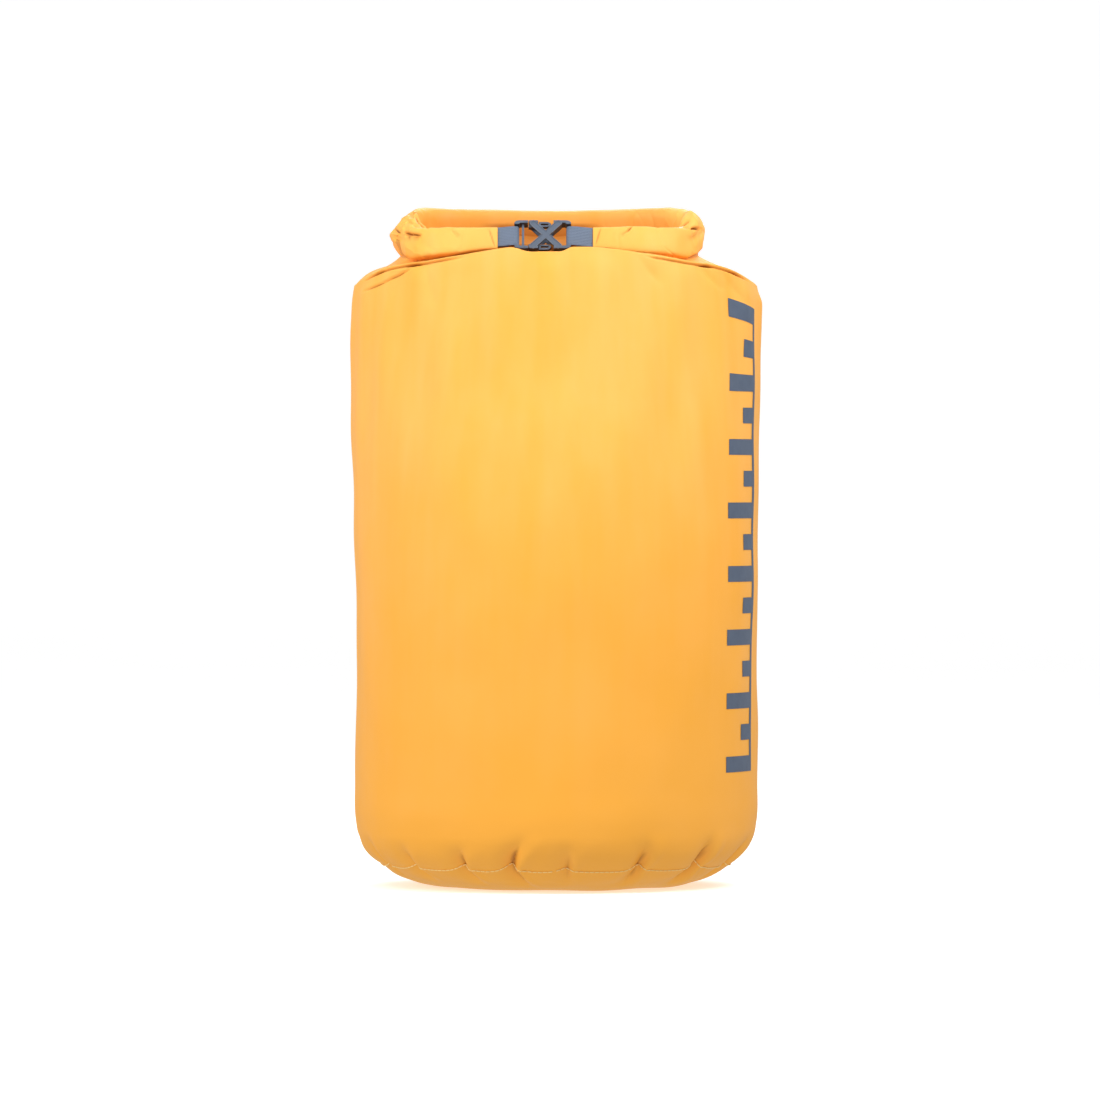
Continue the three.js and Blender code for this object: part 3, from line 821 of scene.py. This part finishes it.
def build_panel(node, points, dark, cap):
    around = np.arange(COLUMNS + 1) * (2 * math.pi * SIDE_RADIUS / COLUMNS)
    obj = grid_object(node + "_cloth", points, around, lengths_along(points[:, 0]), cap)
    # Painted shade: darker in the panel's creases, and as dark as the body's own painted shade where that is
    # darker.
    mark_painted_shade(obj, np.maximum(0.7 * creases(points, 0.3, 2.4), dark))
    dress(obj, CLOTH, "bag", "bag_cloth", node)


# ---- Stitching and tape ----
def stitches(name, path, length, gap, radius):
    """Small rounded stitches laid end to end along a path of points."""
    distance = lengths_along(path)
    count = int(distance[-1] // (length + gap))
    vertices = []
    faces = []
    shares = ((0, 0.3), (0.15, 0.9), (0.5, 1.0), (0.85, 0.9), (1, 0.3))
    sides = 6
    for i in range(count):
        start = i * (length + gap)
        ends = [[np.interp(start + d, distance, path[:, k]) for k in range(3)] for d in (0, length)]
        first, last = (Vector(end) for end in ends)
        turn = (last - first).to_track_quat("Z", "Y").to_matrix()
        base = len(vertices)
        for share, width in shares:
            centre = first.lerp(last, share)
            for k in range(sides):
                spoke = 2 * math.pi * k / sides
                offset = turn @ Vector((math.cos(spoke), math.sin(spoke), 0)) * radius * width
                vertices.append(tuple(centre + offset))
        faces += grid_faces(len(shares), sides, offset=base)[0]
        faces.append([base + k for k in range(sides)][::-1])
        faces.append([base + (len(shares) - 1) * sides + k for k in range(sides)])
    return mesh_object(name, vertices, faces)


def build_stitching():
    turn = np.linspace(0, 2 * math.pi, 1200)
    height = np.full_like(turn, SEAM_HEIGHT + 1.2)
    base = stitches("base_seam_stitches", on_body(turn, height, 0.35), 3.6, 0.3, 0.5)
    dress(base, THREAD, "bag", "thread", "base_seam_thread")
    height = np.linspace(SEAM_HEIGHT + 3, CREST_HEIGHT - 2, 900)
    path = on_body(np.full_like(height, math.pi), height, 0.3)
    back = stitches("back_seam_stitches", path, 3.2, 1.0, 0.5)
    dress(back, THREAD, "bag", "thread", "back_seam_thread")


def patch(low, high, lift, step=3.0):
    """A grid of points over a piece of the wall between two (angle, height) corners."""
    across = max(2, math.ceil((high[0] - low[0]) * SIDE_RADIUS / step) + 1)
    up = max(2, math.ceil((high[1] - low[1]) / step) + 1)
    angle, height = np.meshgrid(np.linspace(low[0], high[0], across), np.linspace(low[1], high[1], up))
    return on_body(angle, height, lift)


def patches_object(name, regions, lift):
    """Pieces of the wall between pairs of (angle, height) corners, lift mm off the cloth, as one mesh."""
    vertices = []
    faces = []
    uvs = []
    for low, high in regions:
        points = patch(low, high, lift)
        rows, columns = points.shape[:2]
        made, corners = grid_faces(rows, columns, wrap=False, offset=len(vertices))
        u = np.linspace(low[0], high[0], columns) * SIDE_RADIUS
        v = np.linspace(low[1], high[1], rows)
        faces += made
        uvs += [(u[c], v[r]) for r, c in corners]
        vertices += points.reshape(-1, 3).tolist()
    return mesh_object(name, vertices, faces, uvs)


PRINT_TURN = math.radians(66)  # of the print's middle, round from the front
PRINT_HALF_WIDTH = 24
PRINT_BOTTOM = 90
PRINT_TOP = 440
PRINT_BAR = 12  # how thick a bar is
PRINT_LINE = 5  # and the upright line
PRINT_STEPS = 14


def build_print():
    """A plain fill gauge: bars of two lengths on an upright line."""

    def turn(across):
        return PRINT_TURN + math.asin(across / SIDE_RADIUS)

    inner = turn(PRINT_HALF_WIDTH - PRINT_LINE)
    regions = [((inner, PRINT_BOTTOM), (turn(PRINT_HALF_WIDTH), PRINT_TOP))]
    pitch = (PRINT_TOP - PRINT_BOTTOM - PRINT_BAR) / PRINT_STEPS
    for i in range(PRINT_STEPS + 1):
        bottom = PRINT_BOTTOM + i * pitch
        start = turn(0 if i % 2 else -PRINT_HALF_WIDTH)
        regions.append(((start, bottom), (inner, bottom + PRINT_BAR)))
    obj = patches_object("fill_gauge_ink", regions, 0.3)
    dress(obj, INK, "bag", "print_ink", "fill_gauge_print")


TAPE_HALF_WIDTH = 10
TAPE_LIFT = -1.6  # it is on the inside


def build_tapes():
    """The sealing tape inside the back seam and round the base seam."""
    half = TAPE_HALF_WIDTH / SIDE_RADIUS
    regions = [((math.pi - half, SEAM_HEIGHT + 14), (math.pi + half, CREST_HEIGHT - 6))]
    back = patches_object("back_seam_tape_inside", regions, TAPE_LIFT)
    dress(back, TAPE, "bag", "seam_tape", "back_seam_tape")
    regions = [((0, SEAM_HEIGHT + 1), (2 * math.pi, SEAM_HEIGHT + 1 + TAPE_HALF_WIDTH))]
    base = patches_object("base_seam_tape_inside", regions, TAPE_LIFT)
    dress(base, TAPE, "bag", "seam_tape", "base_seam_tape")


# ---- The rolled closure ----
BEND = RING_DEPTH / 2
STRAIGHT = RING_HALF_WIDTH - BEND
TIP_DROP = 1.6  # how far each arm's tip hangs below the buckle's strap bars
# The roll's section at its tips, on its arms, at its back and at its left and right bends: its height and
# thickness, how high its middle is, and how square it is, where 2 is an oval and less is pinched to a ridge.
SECTION_HEIGHTS = (18.4, 23.0, 25.5, 35.5, 34)
SECTION_THICKNESSES = (8.5, 14, 18.5, 16.5, 20)
SECTION_MIDDLES = (
    RING_HEIGHT - BEND * RING_SLOPE - TIP_DROP - 0.6,
    491.9,
    RING_HEIGHT + BEND * RING_SLOPE,
    499.9,
    501.5,
)
SECTION_POWERS = (5.5, 5.5, 3.0, 1.15, 1.5)
RIGHT_ARM_RISE = 0.9  # how much higher the right arm is than the left one
BACK_SAG = 2.2  # how much lower the back is half-way between the bends
RING_LENGTHS = (
    STRAIGHT - RING_X + LEFT_TIP_X,
    math.pi * BEND,
    2 * STRAIGHT,
    math.pi * BEND,
    RING_X + STRAIGHT - RIGHT_TIP_X,
)
RING_LENGTH = sum(RING_LENGTHS)


def ring_at(distance):
    """The middle of the ring at a distance from the left tip: x, y and the direction outwards from the ring."""
    first, bend, back, _, _ = RING_LENGTHS
    left = np.clip(distance - first, 0, bend)
    right = np.clip(distance - first - bend - back, 0, bend)
    turn = -math.pi / 2 - (left + right) / BEND
    out = np.stack([np.cos(turn), np.sin(turn)], axis=-1)
    gone_left = np.clip(distance, 0, first) + np.clip(distance - first - 2 * bend - back, 0, None)
    gone_right = np.clip(distance - first - bend, 0, back)
    x = LEFT_TIP_X - gone_left + gone_right + BEND * out[:, 0]
    return x, RING_Y + BEND * out[:, 1], out


# Sharp creases in the roll as the front view shows them: start, end, depth, width and how dark their painted
# shade is inside.
ROLL_CREASES = (
    ((-107, 514), (-101, 508), 3.0, 1.1, 0.45),
    ((-103, 510), (-97, 504.3), 5.0, 1.15, 1.0),
    ((-116, 501.2), (-110.5, 499.4), 4.0, 0.9, 1.0),
    ((-112, 499.8), (-103, 498.3), 3.6, 0.9, 0.8),
    ((-123.8, 505.2), (-121, 501.6), 1.4, 0.9, 0.95),
    ((-115, 511), (-102, 505.5), 2.2, 1.8, 0.12),
    ((-127, 497), (-103, 493.5), 1.2, 2.6, 0),
    ((-103, 493.5), (-93, 487), 1.0, 3.0, 0),
    ((-113, 516), (-108, 513), 1.6, 1.4, 0.1),
    ((-99, 519), (-97.5, 509), 1.3, 2.4, 0),
    ((103, 505), (112, 504), 4.2, 1.0, 1.0),
    ((92, 506), (106, 504.6), 2.0, 0.8, 0.4),
    ((101, 511), (94, 507), 2.6, 1.0, 0.5),
    ((114, 503), (101, 495), 2.4, 1.5, 0.25),
    ((-80, 502.5), (-71, 495), 1.7, 1.3, 0.12),
    ((-51, 503), (-46.3, 489), 1.8, 0.8, 0.45),
    ((34, 504), (30, 491), 1.8, 0.8, 0.45),
    ((58.5, 506.5), (54, 501), 2.0, 0.8, 0.6),
    ((56, 503), (47, 496), 1.4, 1.0, 0.15),
    ((87, 516), (82, 507), 1.9, 1.5, 0.12),
    ((79, 514), (76, 508), 1.2, 1.8, 0.05),
)
ROLL_COLUMNS = 160
ROLL_STEP = 0.6
LEFT_TUCK = 6.25  # how far the left bend's upper and lower edges are drawn in
LEFT_TUCK_TOP = 3.25  # and how much further the upper one is
SMALL_CREASES = 46


def roll_grid(start, end):
    """The rolled cloth between two distances along the ring, as rows of sections."""
    count = math.ceil((end - start) / ROLL_STEP) + 1
    distance = np.linspace(start, end, count)
    x, y, out = ring_at(distance)
    left = x < RING_X
    tip = np.minimum(distance, RING_LENGTH - distance)
    swell = smoothstep(0, 40, tip)
    back = smoothstep(-30, 15, y - RING_Y)
    way_back = (y - RING_Y) / BEND
    pinch = smoothstep(np.where(left, -0.85, -0.5), np.where(left, -0.35, 0.0), way_back)
    pinch *= 1 - smoothstep(0.15, 0.9, way_back)
    upright = smoothstep(-1, -0.6, way_back)

    def along_roll(at_tip, on_arm, at_back, at_left, at_right):
        straight = lerp(lerp(at_tip, on_arm, swell), at_back, back)
        return lerp(straight, np.where(left, at_left, at_right), pinch)

    at_tip, on_arm, at_back, at_left, at_right = SECTION_MIDDLES
    on_arm = on_arm + np.where(left, 0, RIGHT_ARM_RISE)
    middle = along_roll(at_tip, on_arm, at_back, at_left, at_right)
    height = along_roll(*SECTION_HEIGHTS)
    thick = along_roll(*SECTION_THICKNESSES)
    power = 2 / along_roll(*SECTION_POWERS)[:, None]
    bend_lean = np.where(left, 0, RIGHT_BEND_LEAN)
    lean = lerp(lerp(FRONT_LEAN, bend_lean, upright), BACK_LEAN, smoothstep(0, 0.9, way_back))[:, None]
    turn = np.arange(ROLL_COLUMNS) * (2 * math.pi / ROLL_COLUMNS)
    upwards = signed_power(np.sin(turn)[None, :], power)
    across = signed_power(np.cos(turn)[None, :], power) * thick[:, None] / 2
    up = upwards * height[:, None] / 2
    tuck = (pinch * left)[:, None] * (LEFT_TUCK * upwards**2 + LEFT_TUCK_TOP * upwards)
    reach = across * np.cos(lean) - up * np.sin(lean) - tuck
    rise = up * np.cos(lean) + across * np.sin(lean)
    sag = -BACK_SAG * np.cos(np.clip((x - RING_X) / 95, -1, 1) * math.pi / 2) * back
    points = np.stack(
        [
            x[:, None] + out[:, None, 0] * reach,
            y[:, None] + out[:, None, 1] * reach,
            (middle + sag)[:, None] + rise,
        ],
        axis=-1,
    )
    return points, distance, turn


def fold(points, seed, size, sharpness):
    """Crumpled cloth as a height: flat facets that meet in creases, about size mm across."""
    waves = ripple(points, size, seed) + 0.6 * ripple(points, size * 0.55, seed + 1)
    return 1 - np.abs(waves) ** sharpness


def small_creases(distance, turn, bent):
    """Creases at random places, deeper where the roll is bent, as a height."""
    rng = np.random.default_rng(SEED + 11)
    push = np.zeros((len(distance), len(turn)))
    for _ in range(SMALL_CREASES):
        place = rng.uniform(12, RING_LENGTH - 12)
        side = rng.uniform(0, 2 * math.pi)
        slant = rng.uniform(-9, 9)
        width = rng.uniform(1.1, 2.2)
        reach = rng.uniform(0.5, 1.1)
        depth = rng.uniform(0.5, 1.6)
        round_gap = (turn[None, :] - side + math.pi) % (2 * math.pi) - math.pi
        gap = distance[:, None] - place - slant * round_gap
        push -= depth * np.exp(-np.abs(gap / width) ** 1.4 - (round_gap / reach) ** 2) * (0.2 + bent)
    return push


def roll_shade(points, normals):
    """The roll's painted shade: how dark it is painted inside the ring, behind the buckle and down by the wall.
    """
    x, y, z = np.moveaxis(points, -1, 0)
    inner = smoothstep(20, 42, y - RING_Y) * smoothstep(-0.2, 0.5, -normals[..., 1])
    low = 1 - smoothstep(501, 509, z)
    in_shade = behind_buckle(x) * (1 - smoothstep(508, 511, z))
    at_back = inner * lerp(0.26 + 0.3 * low, BUCKLE_SHADE, in_shade)
    on_arm = y < RING_Y
    # Painted shade on the arms' side that faces into the ring.
    arm_inside = 0.4 * smoothstep(0.1, 0.6, normals[..., 1]) * on_arm
    edge = CREST_HEIGHT + smooth_curve(np.abs(x), CREST_ACROSS, CREST_RISES)
    by_wall = (1 - smoothstep(0.4, 1.4, z - edge)) * (1 - smoothstep(80, 100, np.abs(x)))
    return np.maximum(np.maximum(at_back, arm_inside), 0.9 * by_wall * on_arm)


def wrinkle_roll(points, distance, turn):
    """The roll's points with its creases pressed in, which are sharp where it is bent and faint along its
    straights, and how dark each point is painted, as painted shade."""
    normals = grid_normals(points)
    x, y, z = np.moveaxis(points, -1, 0)
    first, bend, back, _, _ = RING_LENGTHS
    left = np.exp(-(((distance - first - bend * 0.45) / 46) ** 2))
    right = np.exp(-(((distance - first - 1.55 * bend - back) / 46) ** 2))
    bent = (0.7 * left + 0.45 * right)[:, None]
    push = small_creases(distance, turn, bent)
    push += 0.5 * ripple(points, 34, SEED + 4) * (0.4 + bent)
    push += 1.9 * (fold(points, SEED + 8, 22, 0.7) - 0.4) * bent
    dark = roll_shade(points, normals)
    front = (y < RING_Y + 8) * smoothstep(-0.2, 0.2, -normals[..., 1])
    for start, end, depth, width, shade in ROLL_CREASES:
        inside = groove(x, z, start, end, width)
        push -= front * depth * inside
        # Painted shade inside the sharp creases.
        dark = np.maximum(dark, front * shade * smoothstep(0.25, 0.8, inside))
    push *= smoothstep(0, 9, np.minimum(distance, RING_LENGTH - distance))[:, None] * 0.8 + 0.2
    return points + normals * push[..., None], dark


# The rolled-up layers that show at a tip: how wide each is beside the roll, and how far in it is, in mm.
TIP_WIDTHS = (0.93, 0.84, 0.82, 0.7, 0.66, 0.56, 0.52, 0.3)
TIP_DEPTHS = (-0.5, 0.1, 2.6, 2.6, 0.4, 0.6, 2.8, 3.0)


def close_tip(points, at_start):
    """Adds the layers that show at a tip."""
    edge = points[0] if at_start else points[-1]
    second = points[1] if at_start else points[-2]
    inwards = second - edge
    inwards /= np.linalg.norm(inwards, axis=1, keepdims=True)
    middle = edge.mean(axis=0)
    layers = zip(TIP_WIDTHS, TIP_DEPTHS)
    rings = np.stack([middle + (edge - middle) * width + inwards * depth for width, depth in layers])
    return np.concatenate([rings[::-1], points]) if at_start else np.concatenate([points, rings])


def build_roll():
    """The whole roll is wrinkled as one, then parted where its left arm begins to give way."""
    points, distance, turn = roll_grid(0, RING_LENGTH)
    points, dark = wrinkle_roll(points, distance, turn)
    split = int(np.searchsorted(distance, LEFT_ARM_LENGTH))
    around = np.linspace(0, 70, ROLL_COLUMNS + 1)
    caps = len(TIP_WIDTHS)
    plain = np.zeros((caps, ROLL_COLUMNS))
    # Painted shade from the roll's creases and from roll_shade.
    depth = np.maximum(creases(points[:, ::-1], 0.35, 1.7, 5)[:, ::-1], dark)
    arm = close_tip(points[: split + 1], True)
    arm_along = np.concatenate([distance[0] - np.arange(caps, 0, -1), distance[: split + 1]])
    arm_object = grid_object("left_roll_arm_cloth", arm[:, ::-1], around, arm_along, cap="first")
    mark_painted_shade(arm_object, np.concatenate([plain, depth[: split + 1]])[:, ::-1])
    rest = close_tip(points[split:], False)
    rest_along = np.concatenate([distance[split:], distance[-1] + np.arange(1, caps + 1)])
    rest_object = grid_object("rolled_closure_cloth", rest[:, ::-1], around, rest_along, cap="last")
    mark_painted_shade(rest_object, np.concatenate([depth[split:], plain])[:, ::-1])
    dress(rest_object, CLOTH, "bag", "bag_cloth", "rolled_closure")
    dress(arm_object, CLOTH, None, "bag_cloth", "left_roll_arm")
    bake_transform(arm_object)


# ---- Straps, in the buckle's own frame ----
BUCKLE_FRAME = Matrix.Translation(
    (BUCKLE_X, RING_Y - RING_DEPTH / 2, RING_HEIGHT - RING_DEPTH / 2 * RING_SLOPE)
) @ Matrix.Rotation(-FRONT_LEAN, 4, "X")
WEBBING_WIDTH = 16
WEBBING_THICKNESS = 1.1
WEBBING_STEP = 0.6
LEFT_BAR_X = -9.75  # the buckle's bars, from its middle
RIGHT_BAR_X = 31.25
STRAP_IN_HEM = 15  # how far each strap goes into the roll
TACK_INSET = 7  # from the strap's end to its bartack
TACK_DEPTH = 1.0  # of the bartack behind the buckle's middle


def hairpin_path(bar_x, end_x):
    """The middle of the webbing: out along the front, round the bar and back, as x and y."""
    side = 1 if bar_x > end_x else -1
    turn_radius = 1.65 + WEBBING_THICKNESS / 2
    layer = WEBBING_THICKNESS / 2 + 0.12
    merge = bar_x - side * 9
    flat = -0.9
    points = [(end_x, flat - layer), (merge, flat - layer), (bar_x - side * 2.5, -turn_radius + 0.2)]
    for i in range(13):
        turn = -math.pi / 2 + math.pi * i / 12
        points.append((bar_x + side * math.cos(turn) * turn_radius, math.sin(turn) * turn_radius))
    points += [(bar_x - side * 2.5, turn_radius - 0.3), (merge, flat + layer), (end_x, flat + layer)]
    return np.array(points)


def webbing(name, path):
    """A band of webbing along a path, its section a flat oblong with soft edges."""
    lengths = lengths_along(path)
    along = np.linspace(0, lengths[-1], math.ceil(lengths[-1] / WEBBING_STEP) + 1)
    middle = np.stack([np.interp(along, lengths, path[:, k]) for k in (0, 1)], axis=1)
    for _ in range(3):
        middle[1:-1] = (middle[:-2] + 2 * middle[1:-1] + middle[2:]) / 4
    direction = np.gradient(middle, axis=0)
    direction /= np.linalg.norm(direction, axis=1, keepdims=True)
    normal = np.stack([-direction[:, 1], direction[:, 0]], axis=1)
    turn = np.arange(28) * (2 * math.pi / 28)
    wide = signed_power(np.cos(turn), 0.35) * WEBBING_WIDTH / 2
    thick = signed_power(np.sin(turn), 0.6) * WEBBING_THICKNESS / 2
    x = middle[:, None, 0] + normal[:, None, 0] * thick
    y = middle[:, None, 1] + normal[:, None, 1] * thick
    z = np.broadcast_to(wide, x.shape)
    local = np.stack([x, y, z], axis=-1).reshape(-1, 3)
    away = smoothstep(3, 26, np.abs(middle[:, 0] - middle[len(middle) // 2, 0]))
    local[:, 2] -= np.repeat(TIP_DROP * away, len(turn))
    placed = np.array([BUCKLE_FRAME @ Vector(p) for p in local]).reshape(*x.shape, 3)
    around = np.concatenate([wide, wide[:1]])
    obj = grid_object(name, placed, around, along, cap="both")
    swap_uv(obj)
    return obj


def swap_uv(obj):
    """Turns the cloth's coordinates so that the first runs along the webbing."""
    data = obj.data.uv_layers["cloth"].data
    values = np.zeros(len(data) * 2)
    data.foreach_get("uv", values)
    data.foreach_set("uv", values.reshape(-1, 2)[:, ::-1].ravel())


def zigzag(name, x):
    """A bartack: thread that goes back and forth across the strap."""
    points = []
    for i, z in enumerate(np.linspace(-6, 6, 25)):
        aside = 1.1 if i % 2 else -1.1
        points.append(BUCKLE_FRAME @ Vector((x + aside, TACK_DEPTH, z)))
    return stitches(name, np.array(points), 2.2, 0.02, 0.22)


def build_straps():
    left_end = LEFT_TIP_X - BUCKLE_X - STRAP_IN_HEM
    right_end = RIGHT_TIP_X - BUCKLE_X + STRAP_IN_HEM
    left = webbing("left_strap_webbing", hairpin_path(LEFT_BAR_X, left_end))
    dress(left, WEBBING, "plug", "webbing", "left_strap")
    right = webbing("right_strap_webbing", hairpin_path(RIGHT_BAR_X, right_end))
    dress(right, WEBBING, "bag", "webbing", "right_strap")
    left_tack = zigzag("left_bartack_thread", left_end + TACK_INSET)
    dress(left_tack, THREAD, "plug", "thread", "left_strap_bartack")
    right_tack = zigzag("right_bartack_thread", right_end - TACK_INSET)
    dress(right_tack, THREAD, "bag", "thread", "right_strap_bartack")


def finish_mouldings():
    """The buckle and the stiffener keep their CAD shapes and get their materials."""
    for name in ("buckle_socket", "buckle_plug", "upper_latch_arm", "lower_latch_arm", "closure_stiffener"):
        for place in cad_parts[name].material_slots:
            place.material = STIFFENER if name == "closure_stiffener" else PLASTIC


# ---- Stage ----
FLOOR_END = 7.0  # in metres, past where a camera stands behind the bag
SWEEP_RADIUS = 1.5
BAG_MIDDLE = Vector((0, 0, 0.28))
CAMERA_DISTANCE = 6.0
CAMERA_ELEVATION = math.radians(0.5)
CAMERA_X = -0.0046
CAMERA_AIM = 0.2584  # how high the middle of the view is at the axis


def build_stage():
    """A pale sweep that is floor in front and wall behind."""
    half = 9.0
    turn = np.linspace(0.1, math.pi / 2, 14)
    depth = np.concatenate([[-10, FLOOR_END], FLOOR_END + SWEEP_RADIUS * np.sin(turn)])
    rise = np.concatenate([[0, 0], SWEEP_RADIUS * (1 - np.cos(turn))])
    depth = np.append(depth, FLOOR_END + SWEEP_RADIUS)
    rise = np.append(rise, 9.0)
    vertices = [(x / MM, y / MM, z / MM) for y, z in zip(depth, rise) for x in (-half, half)]
    faces = [[2 * i, 2 * i + 1, 2 * i + 3, 2 * i + 2] for i in range(len(depth) - 1)]
    sweep = mesh_object("floor_sweep", vertices, faces)
    look = Look("floor_white", (0.9, 0.9, 0.9), 0.9)
    look.mottle(2, 2, (0.89, 0.89, 0.89), (0.92, 0.92, 0.92))
    look.shader.inputs["Emission Color"].default_value = (1, 1, 1, 1)
    look.shader.inputs["Emission Strength"].default_value = 0.45
    sweep.data.materials.append(look.material)
    sweep.visible_diffuse = False
    sweep.visible_glossy = False
    sweep.visible_shadow = False


def add_light(name, place, size, power):
    """A soft light that is aimed at the middle of the bag."""
    data = bpy.data.lights.new(name, "AREA")
    data.shape = "RECTANGLE"
    data.size, data.size_y = size
    data.energy = power
    obj = bpy.data.objects.new(name, data)
    obj.location = place
    obj.rotation_euler = (BAG_MIDDLE - Vector(place)).to_track_quat("-Z", "Y").to_euler()
    bpy.context.collection.objects.link(obj)


def build_lights():
    add_light("key_softbox", (-1.7, -1.7, 1.5), (1.2, 1.2), 6.6)
    add_light("left_softbox", (-1.3, -0.6, 0.5), (0.7, 0.9), 5.2)
    add_light("left_upper_softbox", (-0.6, -0.75, 1.05), (0.5, 0.4), 3.6)
    add_light("right_upper_softbox", (0.6, -0.75, 1.05), (0.5, 0.4), 6.4)
    add_light("right_softbox", (1.2, -0.5, 1.1), (0.7, 0.7), 3.3)
    add_light("top_softbox", (0, 0.1, 2.0), (1.8, 1.6), 8)
    add_light("back_softbox", (0.3, 1.7, 1.5), (1.4, 0.8), 12)
    add_light("floor_softbox", (0, -0.6, -0.9), (2.4, 2.0), 6)
    world = bpy.data.worlds.new("pale_world")
    world.use_nodes = True
    background = world.node_tree.nodes["Background"]
    background.inputs["Color"].default_value = (1, 1, 1, 1)
    background.inputs["Strength"].default_value = 0.6
    bpy.context.scene.world = world


def build_camera():
    data = bpy.data.cameras.new("photo_camera")
    data.sensor_width = 36
    data.lens = 255
    data.clip_end = 50
    data.dof.use_dof = False
    obj = bpy.data.objects.new("photo_camera", data)
    rise = math.sin(CAMERA_ELEVATION) * CAMERA_DISTANCE
    obj.location = (CAMERA_X, -math.cos(CAMERA_ELEVATION) * CAMERA_DISTANCE, CAMERA_AIM + rise)
    obj.rotation_euler = (math.pi / 2 - CAMERA_ELEVATION, 0, 0)
    bpy.context.collection.objects.link(obj)
    bpy.context.scene.camera = obj
    bpy.context.scene.view_settings.view_transform = "Standard"


build_panel("body_panel", BODY, BODY_PAINTED_SHADE, "last")
build_panel("base_panel", BASE, 0, "first")
build_stitching()
build_print()
build_tapes()
build_roll()
build_straps()
finish_mouldings()
build_stage()
build_lights()
build_camera()
